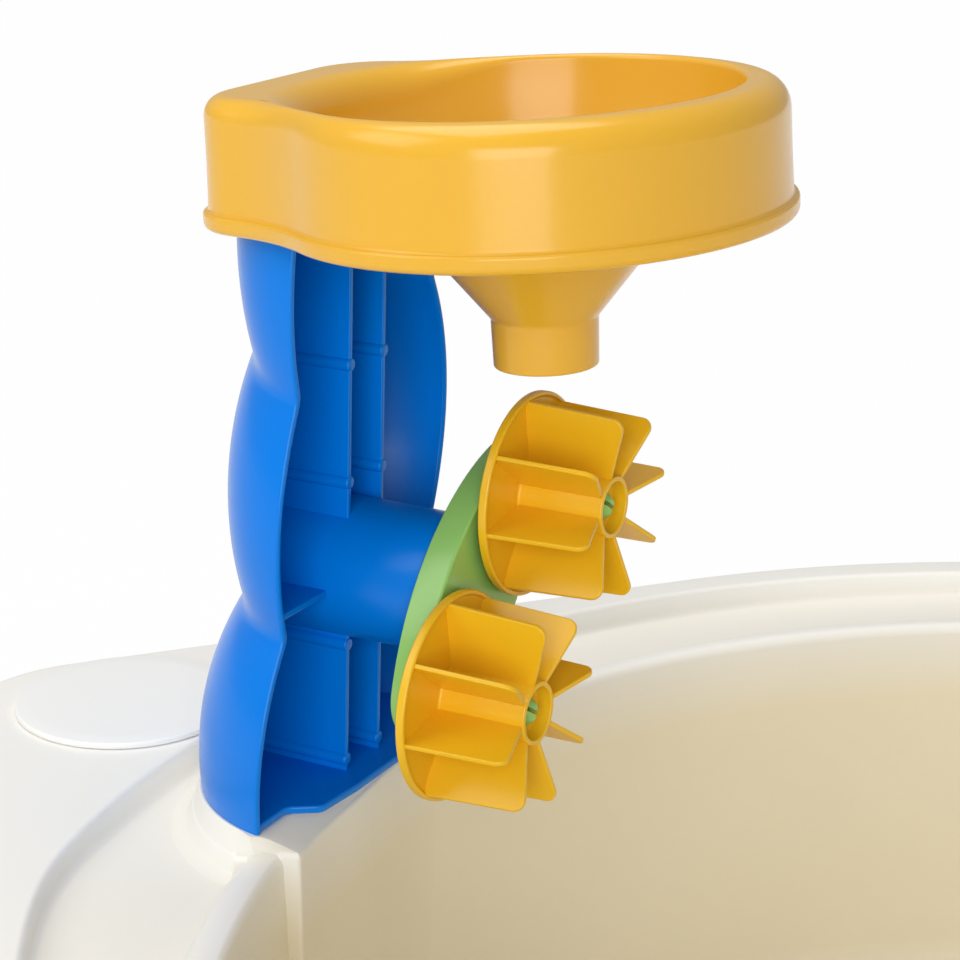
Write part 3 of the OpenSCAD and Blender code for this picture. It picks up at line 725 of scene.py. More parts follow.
@dataclass
class BasinMoulding(SubAssembly):
    """The pool, its ridge and channel, the deck with its round end, the pad and the sockets."""

    pool_r: float = 319.0
    pool_draft: float = 8.0
    pool_fillet: float = 22.0
    flat_r: float = 120.0
    ridge_w: float = 12.0
    ridge_drop: float = 3.0
    channel_w: float = 54.0
    channel_depth: float = 10.5
    channel_near: float = 6.5
    channel_far: float = -7.0
    lip_w: float = 13.0
    skirt_h: float = 46.0
    skirt_round: float = 7.0
    skirt_inset: float = 0.15
    wall: float = 4.0
    lobe_r: float = 66.0
    pad_half_w: float = 61.0
    pad_into_pool: float = 9.0
    pad_soft_from: float = -20.0
    pad_corner: float = 5.5
    pad_crest: float = 427.8
    pad_front: float = 429.2
    pad_skirt: float = 4.0
    pad_ahead: float = -15.5
    well_r: float = 38.4
    well_h: float = 28.0
    socket_r: float = 26.4
    socket_wall: float = 3.6
    socket_len: float = 42.0
    seat_r: float = 5.5
    seat_h: float = 3.3
    drain_len: float = 14.0
    fine_from: float = 166.0
    fine_step: float = 0.25
    channel_soft: Point2 = (32.0, 14.0)
    ridge_soft: Point2 = (24.0, 15.0)
    wall_soft: Point2 = (50.0, 20.0)

    def __post_init__(self) -> None:
        """Works out the heights of ridge, channel and pool floor."""
        self.ridge_z = self.at.deck_z - self.ridge_drop
        self.channel_z = self.at.deck_z - self.channel_depth
        self.pool_depth = self.ridge_z - self.at.floor_z

    def outline_r(self, ang: np.ndarray, inset: float) -> np.ndarray:
        """Distance from the pool centre to the table's outline.

        Args:
            ang: Directions in radians.
            inset: How far the outline is drawn in.

        Returns:
            The distances.
        """
        rim = self.pool_r + self.ridge_w + self.channel_w + self.lip_w
        dx = self.at.pool_x - self.at.lobe_x
        a = math.acos((self.lobe_r - rim) / dx)
        out = np.full(ang.shape, rim - inset)
        off = np.abs((ang % (2 * math.pi)) - math.pi)
        side = (rim - inset) / np.cos(np.clip((math.pi - a) - off, -1.4, 1.4))
        out = np.where(off < math.pi - a, np.maximum(out, side), out)
        rl = self.lobe_r - inset
        tip = np.array([-dx + rl * math.cos(a), rl * math.sin(a)])
        lim = math.pi - math.atan2(tip[1], tip[0])
        inside = np.clip(rl * rl - (dx * np.sin(off)) ** 2, 0, None)
        return np.where(off <= lim, dx * np.cos(off) + np.sqrt(inside), out)

    @staticmethod
    def near_tower(ang: np.ndarray, start: float, full: float) -> np.ndarray:
        """How near a direction from the pool centre is to the tower.

        Args:
            ang: Directions in radians.
            start: Angle from the tower in degrees at which the answer is 0.
            full: Angle from the tower in degrees at which it has reached 1.

        Returns:
            Values from 0 to 1 with soft ends.
        """
        off = np.degrees(np.abs((ang % (2 * math.pi)) - math.pi))
        return ease((start - off) / (start - full))

    def body(self, shape: Shape) -> None:
        """Adds the pool, ridge, channel, deck and skirt as one closed skin.

        Args:
            shape: Where the faces go.
        """
        zd, zr, zc, zp = self.at.deck_z, self.ridge_z, self.channel_z, self.at.floor_z
        t, f, e, flat = self.wall, self.pool_fillet, self.skirt_round, self.flat_r
        r0, rp = self.pool_r - self.pool_draft, self.pool_r
        rc0 = rp + self.ridge_w
        rc1 = rc0 + self.channel_w
        top = soften([(flat, zp, 0), (r0, zp, f), (rp, zr, 4.5), (rc0 - 3, zr, 5.0), (rc0 + 1.5, zc, 4.5),
                      (rc1 - 1.2, zc, 3.5), (rc1, zd, 2.4), (rc1 + 6, zd, 0)], 6)
        under = soften([(rc1 + t + 4, zd - t, 0), (rc1 + t, zd - t, 0), (rc1 + t, zc - t, 2),
                        (rp + t, zc - t, 2), (r0 + t, zp - t, f + t), (flat, zp - t, 0)], 6)
        foot = zd - self.skirt_h
        skirt = [(e + self.skirt_inset - e * math.sin(a), zd - e + e * math.cos(a))
                 for a in np.linspace(0, math.pi / 2, 7)]
        skirt += [(self.skirt_inset, foot + 1), (0.8, foot), (t - 0.8, foot), (t, foot + 1), (t, zd - e - t),
                  (t + 4, zd - t)]
        start = self.fine_from
        fine = np.radians(np.arange(start, 360 - start, self.fine_step))
        ang = np.concatenate([np.radians(np.arange(-start, start, 1.0)), fine])
        nearer = self.channel_near - self.channel_far
        shift = self.channel_far + nearer * self.near_tower(ang, *self.channel_soft)
        lift = (self.pad_crest - zr) * self.near_tower(ang, *self.ridge_soft)
        side = np.clip((-rp * np.sin(ang) - 10.0) / 40.0, 0.0, 1.0)
        tight = self.near_tower(ang, *self.wall_soft) * side

        def turned(r: float, z: float) -> tuple[np.ndarray, np.ndarray]:
            """A ring, shifted at the channel's edge, lifted on the ridge and drawn in beside the pad.

            Args:
                r: Radius of the plain ring.
                z: Height of the plain ring.

            Returns:
                Radius and height in each direction.
            """
            on_ridge = min(1.0, max(0.0, (z - zr + 5.0) / 5.0)) if rp - 1 < r < rc0 else 0.0
            on_wall = r0 - 20 < r < rp + 3 and z > zp + 30
            wall = 2.0 + 0.04 * min(60.0, max(0.0, zr - z)) if on_wall else 0.0
            return r + shift * (r > rc1 - 5) - wall * tight, z + lift * on_ridge

        rows = [turned(r, z) for r, z in top]
        rows += [(self.outline_r(ang, d), np.full(ang.shape, z)) for d, z in skirt]
        rows += [turned(r, z) for r, z in under]
        px, n = self.at.pool_x, len(ang)
        g = np.stack([np.stack([px + r * np.cos(ang), r * np.sin(ang), z + 0 * ang], -1) for r, z in rows])
        s = shape.grid(g, wrap_cols=True)
        shape.fan(s, n, (px, 0.0, zp), True)
        shape.fan(s + (len(rows) - 1) * n, n, (px, 0.0, zp - t), False)

    def pad_line(self, tower: TowerMoulding) -> np.ndarray:
        """Outline of the pad: front in the pool, short flanks, and a round side about the tower's foot.

        Args:
            tower: The tower whose foot the pad follows.

        Returns:
            Anticlockwise points.
        """
        x0, px, w = self.at.tower_x, self.at.pool_x, self.pad_half_w
        rf = self.pool_r - self.pad_into_pool
        ends = math.asin(w / rf)
        front = []
        for a in np.linspace(-ends, ends, 40):
            k = ease((rf * math.sin(a) - self.pad_soft_from) / (w - self.pad_soft_from))
            r = rf + (self.pad_into_pool + 0.3) * k
            front.append((px - r * math.cos(a), r * math.sin(a), 0.0))
        front[0] = (*front[0][:2], self.pad_corner)
        turn = np.radians(np.linspace(104, 256, 90))
        foot = tower.wall_r(turn, np.zeros(turn.shape), 0.0) + self.pad_skirt
        flank = [(px - math.sqrt((self.pool_r + r) ** 2 - (w + y) ** 2), w + y)
                 for r, y in ((-3.0, 0.4), (2.0, 2.0), (7.0, 6.5))]
        line = [*front, *[(x, y, 0.0) for x, y in flank[1:]],
                *[(x0 + r * math.cos(a), r * math.sin(a), 0.0) for r, a in zip(foot, turn)],
                (flank[2][0], -flank[2][1], 3.0), *[(x, -y, 0.0) for x, y in flank[1::-1]]]
        return np.array(soften(line, 6, closed=True))

    def pad(self, shape: Shape, tower: TowerMoulding) -> None:
        """Adds the raised pad under the tower, with its round side and its front down the pool wall.

        Args:
            shape: Where the faces go.
            tower: The tower whose foot the pad follows.
        """
        x0, px, w, soft0 = self.at.tower_x, self.at.pool_x, self.pad_half_w, self.pad_soft_from
        zc, zp = self.channel_z, self.at.floor_z
        p = self.pad_line(tower)
        nrm = outward(p)
        rel = p - (x0, 0.0)
        from_pool = np.hypot(p[:, 0] - px, p[:, 1])
        radial = (p - (px, 0.0)) / from_pool[:, None]
        far = from_pool - self.pool_r
        ahead = rel[:, 0] > self.pad_ahead
        into = ahead & (far < 1.0)
        rows: list[np.ndarray] = []

        def put(xy: np.ndarray, z: np.ndarray) -> None:
            """Adds a ring."""
            rows.append(np.concatenate([xy, z[:, None]], 1))

        down = (zp - 1.0, zp + 60.0, zp + 110.0, zc - 1.1, self.pad_front - 4.0)
        flare = ((-9.5, zc - 0.2), (-6.0, zc + 0.25), (-3.4, zc + 1.2), (-1.7, zc + 2.9), (-0.6, zc + 5.6))
        soft = np.where(ahead, np.clip((p[:, 1] - soft0) / (w - soft0), 0.0, 1.0), 0.0)
        put(p - radial * np.where(into, far - 1.1, 0.0)[:, None], np.full(far.shape, zc - 1.5))
        for i, (z, (d, zf)) in enumerate(zip(down, flare)):
            draft = self.pool_draft * min(1.0, max(0.0, zp + self.pool_depth - z) / self.pool_depth)
            slip = np.where(into & (z < zc), np.maximum(draft * soft, far - 1.5 + draft), 0.0)
            level = np.where(into, z, max(z, zc - 1.4 + 0.1 * i))
            out = np.where(ahead, 0.0, d)[:, None]
            put(p - nrm * out - radial * slip[:, None], np.where(ahead, level, zf))
        edge = (self.pad_front, self.pad_front - 0.6, self.pad_crest - 0.4)
        crest = np.where(ahead, np.interp(far, (-9.0, -3.0, 2.0), edge), self.pad_crest)
        bend = np.where(ahead, 2.4, 1.3)
        for b in np.linspace(0.1, 1.15, 6):
            put(p - nrm * (bend * (1 - math.cos(b)))[:, None], crest - bend + bend * math.sin(b))
        way = np.arctan2(rel[:, 1], rel[:, 0]) % (2 * math.pi)
        inner = tower.wall_r(way, np.zeros(way.shape), 0.0) + 0.6
        front_x = np.interp(far, (-9.0, -3.0, 2.0, 7.0), (-9.3, -9.6, -10.4, -12.0))
        back = np.where(ahead, front_x, inner * np.cos(way))
        wide = np.where(ahead, np.clip(rel[:, 1] * 1.12, -69.2, 69.2), inner * np.sin(way))
        q = np.stack([back + x0, wide], 1)
        last, z0 = rows[-1][:, :2], rows[-1][:, 2]
        for k, f in ((0.22, 0.24), (0.45, 0.52), (0.68, 0.79), (0.86, 0.94), (1.0, 1.0)):
            put(last + (q - last) * k, z0 + (self.at.pad_z - 0.1 - z0) * f)
        shape.stack(np.stack(rows))

    def fittings(self, shape: Shape) -> None:
        """Adds the leg sockets, the drain spout and the well under the cover.

        Args:
            shape: Where the faces go.
        """
        low, t, screw = self.channel_z - self.wall, self.wall, self.at.screw_r
        rs, ro, end = self.socket_r, self.socket_r + self.socket_wall, low - self.socket_len
        rb, hb = self.seat_r, self.seat_h
        ring = self.pool_r + self.ridge_w + self.channel_w / 2
        for deg in (45, 135, 225, 315):
            m = self.at.round_pool(ring, deg) @ spin(deg, "Z")
            tube = [(rs, low + 1, 0), (ro, low + 1, 0), (ro, end, 1.2), (rs, end, 1.2)]
            shape.turn(tube, 3, 56, m, loop=True)
            seat = m @ move(0, ro - 1.8, low - self.socket_len / 2) @ spin(-90, "X")
            collar = [(screw, 0, 0), (rb, 0, 0), (rb, hb, 0.6), (screw, hb, 0.3)]
            shape.turn(collar, 3, 32, seat, loop=True)
        rd = self.at.drain_r
        m = self.at.round_pool(self.at.drain_at, self.at.drain_angle, self.at.floor_z)
        shape.turn([(rd, -1, 0), (rd + t, -1, 0), (rd + t, -self.drain_len, 1), (rd, -self.drain_len, 1)],
                   3, 48, m, loop=True)
        rw, hw = self.well_r, self.well_h
        shape.turn([(0, -hw, 0), (rw, -hw, 2), (rw, -1.0, 0), (rw + t, -1.0, 0), (rw + t, -hw - t, 2),
                    (0, -hw - t, 0)], 3, 64, self.at.cover)

    def build(self, tower: TowerMoulding) -> None:
        """Makes and dresses the basin.

        Args:
            tower: The tower whose foot the pad follows.
        """
        shape = Shape()
        self.body(shape)
        self.pad(shape, tower)
        self.fittings(shape)
        self.dresser.piece(shape.mesh_object("basin_moulding"), Slot.BASIN, Body.TABLE, "basin")


@dataclass
class CoverAndPlug(SubAssembly):
    """The round lift-off cover and the drain plug."""

    cover_r: float = 45.0
    cover_t: float = 3.0
    ring_r: float = 38.0
    ring_h: float = 9.0
    ring_t: float = 3.0
    head_over: float = 4.0
    head_t: float = 3.0
    plug_len: float = 12.0
    tab_r: float = 8.4
    tab_half_t: float = 1.5

    def cover(self) -> None:
        """Makes and dresses the cover."""
        r, t, rr, h = self.cover_r, self.cover_t, self.ring_r, self.ring_h
        edge = soften([(40, t - 0.1, 0), (r, t - 0.5, 1.0), (r, 0.05, 0.9), (rr, 0.05, 0.4), (rr, -h, 0.8),
                       (rr - self.ring_t, -h, 0.8), (rr - self.ring_t, 0.2, 1.0), (20, 0.2, 0)], 5)
        s = Shape()
        s.lathe([(0, t), (20, t), (38, t - 0.05), *edge, (0, 0.2)], 120, self.at.cover)
        self.dresser.piece(s.mesh_object("lift_off_cover"), Slot.COVER, Body.COVER, "round_cover")

    def plug(self) -> None:
        """Makes and dresses the plug with its pull tab."""
        r, tab, half = self.at.drain_r, self.tab_r, self.tab_half_t
        m = self.at.round_pool(self.at.drain_at, self.at.drain_angle, self.at.floor_z)
        m = m @ spin(self.at.drain_angle, "Z")
        s = Shape()
        rh, t, end = r + self.head_over, self.head_t, -self.plug_len
        s.turn([(0, t, 0), (rh, t, 1.2), (rh, 0.02, 0.6), (r - 0.4, 0.02, 0.4), (r - 0.4, end + 1, 1.5),
                (r - 3, end, 1), (0, end, 0)], 4, 64, m)
        line = [(-tab, 1.0), (tab, 1.0)] + arc((0, tab + 3), tab, 0, 180, 24)
        s.slab(line, -half, half, 0.6, m @ spin(90, "X"))
        self.dresser.piece(s.mesh_object("drain_stopper"), Slot.PLUG, Body.PLUG, "drain_plug")

    def build(self) -> None:
        """Makes both pieces."""
        self.cover()
        self.plug()


@dataclass
class LegSet(SubAssembly):
    """The four legs, their foot caps and screws."""

    leg_r: float = 26.0
    foot_r: float = 20.0
    wall: float = 3.0
    socket_out: float = 30.0
    seat_z: float = 373.5
    top_z: float = 415.5
    cap_t: float = 3.0
    cap_h: float = 16.0
    cap_play: float = 0.1
    ring: float = 358.0

    def build(self) -> None:
        """Makes and dresses legs, feet and screws."""
        feet = Shape()
        rl, rf, t, so = self.leg_r, self.foot_r, self.wall, self.socket_out
        zs, zt, zc, z1 = self.seat_z, self.top_z, self.cap_t, self.cap_t + self.cap_h
        r = rf + self.cap_play
        names = {"leg_front_left": 225, "leg_front_right": 315, "leg_back_left": 135, "leg_back_right": 45}
        for name, deg in names.items():
            m = self.at.round_pool(self.ring, deg)
            s = Shape()
            s.turn([(0, zt, 0), (rl, zt, 1.5), (rl, zs, 0), (so, zs, 1.2), (so, zs - 8, 3.5),
                    (rl + 1, zs - 10, 2.5), (rf, z1, 6), (rf, zc, 0.6), (rf - t, zc, 0.6), (rf - t, z1, 4),
                    (rl - t, zs - 10, 3), (rl - t, zt - 3, 2), (0, zt - 3, 0)], 4, 72, m)
            self.dresser.piece(s.mesh_object(name + "_moulding"), Slot.LEG, Body.TABLE, name)
            feet.turn([(0, 0.0, 0), (r + zc, 0.0, 2.0), (r + zc, z1, 1.2), (r, z1, 0.6), (r, zc, 0),
                       (0, zc, 0)], 4, 72, m)
        self.dresser.piece(feet.mesh_object("foot_caps"), Slot.FOOT, Body.TABLE, "leg_feet")
        for node in ("leg_screws", "tower_screws", "hopper_screws"):
            self.dresser.node(node, Slot.STEEL)


@dataclass(frozen=True)
class Bulge:
    """One slanted bulge of the tower's wall."""

    r: float
    z: float
    arc: float
    deep: float
    slant: float
    nod: float

    def reach(self, ang: np.ndarray, z: np.ndarray, inset: float) -> np.ndarray:
        """Distance from the tower's axis to the bulge's face.

        Args:
            ang: Directions in radians.
            z: Heights above the pad.
            inset: How far inside the outer face.

        Returns:
            The distances.
        """
        c, s = np.cos(ang), np.sin(ang)
        rise = s * math.tan(math.radians(self.slant)) + c * math.tan(math.radians(self.nod))
        oval = np.hypot(c / self.deep, s)
        r = np.full(np.broadcast(ang, z).shape, self.r)
        for _ in range(24):
            up = z - r * rise - self.z
            face = self.r - self.arc + np.sqrt(np.clip((self.arc - inset) ** 2 - up ** 2, 1.0, None))
            r = 0.5 * r + 0.5 * face / oval
        return r


@dataclass
class TowerMoulding(SubAssembly):
    """The open-sided tower of slanted bulges with its ribs, bars, gussets and boss."""

    bulges: tuple[Bulge, ...] = (
        Bulge(69.4, 12.7, 109.0, 0.94, 0.0, 2.8),
        Bulge(58.1, 114.3, 121.0, 0.86, 12.7, -6.0),
        Bulge(52.1, 212.0, 142.0, 0.84, 22.0, -9.0),
    )
    blend: float = 1.1
    wall: float = 2.6
    floor_t: float = 3.0
    open_back: float = 4.9
    open_lean: float = 2.8
    rib_half: float = 11.25
    rib_t: float = 2.2
    rib_proud: float = 0.4
    rib_lean: float = 1.75
    bar_r: float = 2.5
    bar_z: tuple[float, ...] = (-72.7, -26.5, 36.0, 79.8)
    gusset_d: float = 26.0
    gusset_drop: float = 0.6
    tongue_half_w: float = 44.0
    tongue_reach: float = 3.5
    boss_r: float = 25.5
    boss_reach: float = 32.7
    boss_t: float = 3.5
    boss_end: float = 4.0
    spindle_r: float = 8.06
    stub_r: float = 5.0
    stub_h: float = 16.0
    stub_bore: float = 13.5
    hole_x: Point2 = (-90.0, -20.0)
    stub_at: tuple[Point2, ...] = ((-20.1, 0.0), (-36.1, 34.0), (-36.1, -34.0))

    def wall_r(self, ang: np.ndarray, z: np.ndarray, inset: float) -> np.ndarray:
        """Distance from the axis to the wall, with soft valleys between the bulges.

        Args:
            ang: Directions in radians.
            z: Heights above the pad.
            inset: How far inside the outer face.

        Returns:
            The distances.
        """
        v = np.stack([b.reach(ang, z, inset) for b in self.bulges])
        top = v.max(0)
        return top + self.blend * np.log(np.exp((v - top) / self.blend).sum(0))

    def wall_x(self, y: np.ndarray, z: np.ndarray, inset: float) -> np.ndarray:
        """Where the back of the wall lies along X.

        Args:
            y: Distances along Y.
            z: Heights above the pad.
            inset: How far inside the outer face.

        Returns:
            The places along X.
        """
        a = np.full(np.broadcast(y, z).shape, math.pi)
        for _ in range(16):
            a = math.pi - np.arcsin(np.clip(y / self.wall_r(a, z, inset), -1.0, 1.0))
        return self.wall_r(a, z, inset) * np.cos(a)

    def open_x(self, z: np.ndarray | float) -> np.ndarray | float:
        """Where the open side lies at a height above the pad."""
        return -self.open_back + (z - self.at.pivot_h) * math.tan(math.radians(self.open_lean))

    def rib_x(self, z: float) -> float:
        """Where the ribs' front edges lie at a height above the pad."""
        return self.rib_proud - self.open_back + (z - self.at.pivot_h) * math.tan(math.radians(self.rib_lean))

    def edge_angle(self, z: np.ndarray, side: int, back: float, inset: float) -> np.ndarray:
        """Direction in which the wall meets the open side.

        Args:
            z: Heights above the pad.
            side: 1 for the back of the table and -1 for its front.
            back: How far behind the open side.
            inset: How far inside the outer face.

        Returns:
            The directions in radians, from 0 to 2 pi.
        """
        lo, hi = np.full(z.shape, 1.0), np.full(z.shape, 2.6)
        x = self.open_x(z) - back
        for _ in range(30):
            mid = (lo + hi) / 2
            ang = side * mid
            ahead = self.wall_r(ang, z, inset) * np.cos(ang) > x
            lo, hi = np.where(ahead, mid, lo), np.where(ahead, hi, mid)
        return lo if side > 0 else 2 * math.pi - lo

    def top_z(self, x: np.ndarray | float) -> np.ndarray | float:
        """Height of the hopper's seat above the pad at a distance along X."""
        return self.at.pivot_h + self.at.seat_up + x * math.tan(math.radians(self.at.hopper_tilt))

    def shell(self) -> Shape:
        """Makes the bulged wall with rounded free edges and the access hole in its back.

        Returns:
            The wall, about the tower's axis.
        """
        n, caps, rows = 88, 7, 132
        v = np.linspace(0, 1, rows + 1)[:, None]
        h = self.wall / 2
        mid = v * self.top_z(-20.0)
        a0, a1 = self.edge_angle(mid, 1, h, h), self.edge_angle(mid, -1, h, h)
        ang = a0 + (a1 - a0) * np.linspace(0, 1, n)[None, :]

        def face(a: np.ndarray, inset: float) -> np.ndarray:
            """One face of the wall.

            Args:
                a: Directions in radians.
                inset: How far inside the outer face.

            Returns:
                Rows of points.
            """
            z = v * self.top_z(self.wall_r(a, v * self.top_z(0.0), inset) * np.cos(a))
            r = self.wall_r(a, z, inset)
            return np.stack([r * np.cos(a), r * np.sin(a), z], -1)

        def cap(p: np.ndarray, q: np.ndarray) -> np.ndarray:
            """Round edge from one face to the other.

            Args:
                p: The edge of the first face.
                q: The edge of the second face.

            Returns:
                Rows of points between them.
            """
            c, o = (p + q) / 2, (p - q) / 2
            fwd = np.stack([-o[:, 1], o[:, 0], np.zeros(len(o))], -1)
            fwd *= np.sign(fwd[:, :1])
            turns = np.linspace(0, math.pi, caps + 2)[1:-1]
            return np.stack([c + o * math.cos(b) + fwd * math.sin(b) for b in turns], 1)

        outer, inner = face(ang, 0.0), face(ang[:, ::-1], self.wall)
        g = np.concatenate([outer, cap(outer[:, -1], inner[:, 0]), inner, cap(inner[:, -1], outer[:, 0])], 1)
        s = Shape()
        s.grid(g, wrap_cols=True)
        k = g.shape[1]
        for row in (0, rows * k):
            for j in range(n - 1):
                i = n + caps + n - 1 - j
                s.faces.append((row + j, row + j + 1, row + i - 1, row + i))
            s.faces.append(tuple(row + i for i in range(n - 1, n + caps + 1)))
            s.faces.append(tuple(row + i % k for i in range(2 * n + caps - 1, k + 1)))
        hole = Shape()
        r = self.boss_r - self.boss_t + 0.3
        x0, x1 = self.hole_x
        hole.lathe([(0, x0), (r, x0), (r, x1), (0, x1)], 72, along_x(0, 0, self.at.pivot_h))
        return s.cut(hole)

    def inner_line(self, z: float, n: int, inset: float) -> list[Point2]:
        """Line along the wall at a height, from the back edge round to the front edge.

        Args:
            z: Height above the pad.
            n: Number of points.
            inset: How far inside the outer face.

        Returns:
            Points as (x, y).
        """
        lev = np.array([float(z)])
        a = np.linspace(*(self.edge_angle(lev, side, 0.4, inset)[0] for side in (1, -1)), n)
        r = self.wall_r(a, np.full(n, float(z)), inset)
        return list(zip((r * np.cos(a)).tolist(), (r * np.sin(a)).tolist()))

    def floor_and_top(self, shape: Shape, m: Matrix) -> None:
        """Adds the floor with its front tongue and screw stubs, and the top plate.

        Args:
            shape: Where the faces go.
            m: Frame of the tower.
        """
        w, reach, x = self.tongue_half_w, self.tongue_reach, self.open_x(0.0) - 0.4
        half = [(reach, -w * 0.45, 20.0), (reach - 1.8, -w + 2.2, 5.0), (x, -w - 4.8, 4.0),
                (x, -w - 20.0, 0.0)]
        front = soften([*half[::-1], *[(px, -py, r) for px, py, r in half]], 6)
        shape.slab(self.inner_line(1.5, 70, 0.9) + front, 0.0, self.floor_t, 0.9, m)
        rs, screw, h, zb = self.stub_r, self.at.screw_r, self.stub_h, self.stub_bore
        for px, py in self.stub_at:
            shape.turn([(0, zb, 0), (screw, zb, 0), (screw, 0.3, 0), (rs, 0.3, 0), (rs, h, 0.8), (0, h, 0)],
                       3, 32, m @ move(px, py, 0))
        tilt = m @ move(0, 0, self.top_z(0.0)) @ spin(-self.at.hopper_tilt, "Y")
        shape.slab(self.inner_line(self.top_z(-20.0) - 4.0, 70, 0.9), -3.0, -0.05, 0.4, tilt)

    def ribs(self, shape: Shape, m: Matrix) -> None:
        """Adds the upright ribs, the round bars along them and the side gussets.

        Args:
            shape: Where the faces go.
            m: Frame of the tower.
        """
        mid, foot = self.wall / 2, 0.8
        top = self.top_z(0.0) - 0.4
        zs = np.linspace(foot, self.top_z(-46.0) - 0.4, 60)
        zg = self.at.pivot_h - self.gusset_drop - self.rib_t
        xo = self.open_x(zg)
        xi = xo - self.gusset_d
        for s in (-1, 1):
            y = s * self.rib_half
            back = list(zip(self.wall_x(np.full(60, y), zs, mid).tolist(), zs.tolist()))
            line = [(self.rib_x(foot), foot), (self.rib_x(top), top)]
            upright = m @ move(0, y + self.rib_t / 2, 0) @ spin(90, "X")
            shape.slab(line + back[::-1], 0.0, self.rib_t, 0.6, upright)
            for bz in self.bar_z:
                z = self.at.pivot_h + bz
                x0 = float(self.wall_x(np.array([y]), np.array([z]), mid)[0])
                x1 = self.rib_x(z) + 0.5
                shape.turn([(0, x0, 0), (self.bar_r, x0, 0), (self.bar_r, x1, 0.9), (0, x1, 0)], 4, 24,
                           m @ along_x(0, y, z))
            edge = [p for p in self.inner_line(zg, 140, mid) if p[1] * s > 8.0 and p[0] > xi]
            if s > 0:
                line = [(xo, y), (xo, edge[0][1] - 0.2), *edge, (xi, y)]
            else:
                line = [(xi, y), *edge, (xo, edge[-1][1] + 0.2), (xo, y)]
            shape.slab(line, zg, zg + self.rib_t, 0.5, m)

    def boss(self, shape: Shape, m: Matrix) -> None:
        """Adds the round boss that carries the spinner, from the back wall to its front end.

        Args:
            shape: Where the faces go.
            m: Frame of the tower.
        """
        steps = 96
        a = np.linspace(0, 2 * math.pi, steps, endpoint=False)
        r, ri, rs = self.boss_r, self.boss_r - self.boss_t, self.spindle_r
        x1, x0 = self.boss_reach, self.boss_reach - self.boss_end
        line = soften([(r + 0.6, -30, 0), (r, x1, 1.4), (rs, x1, 0.4), (rs, x0, 0.3), (ri, x0, 1.0),
                       (ri, -25, 0)], 6)

        def ring(rad: float, x: np.ndarray) -> np.ndarray:
            """Points round the spinner's axis."""
            return np.stack([x, rad * np.cos(a), self.at.pivot_h + rad * np.sin(a)], -1)

        def on_wall(rad: float, inset: float) -> np.ndarray:
            """Points round the spinner's axis on the back wall."""
            return ring(rad, self.wall_x(rad * np.cos(a), self.at.pivot_h + rad * np.sin(a), inset))

        rows = [on_wall(r + 0.9, self.wall * 0.6), *[ring(rad, np.full(steps, x)) for rad, x in line],
                on_wall(ri, 0.3)]
        shape.grid(np.stack(rows), wrap_rows=True, wrap_cols=True, at=m)

    def build(self) -> None:
        """Makes and dresses the tower."""
        m = move(self.at.tower_x, 0, self.at.pad_z)
        shape = Shape()
        shape.join(self.shell(), m)
        self.floor_and_top(shape, m)
        self.ribs(shape, m)
        self.boss(shape, m)
        self.dresser.piece(shape.mesh_object("tower_moulding"), Slot.TOWER, Body.TABLE, "tower_shell")


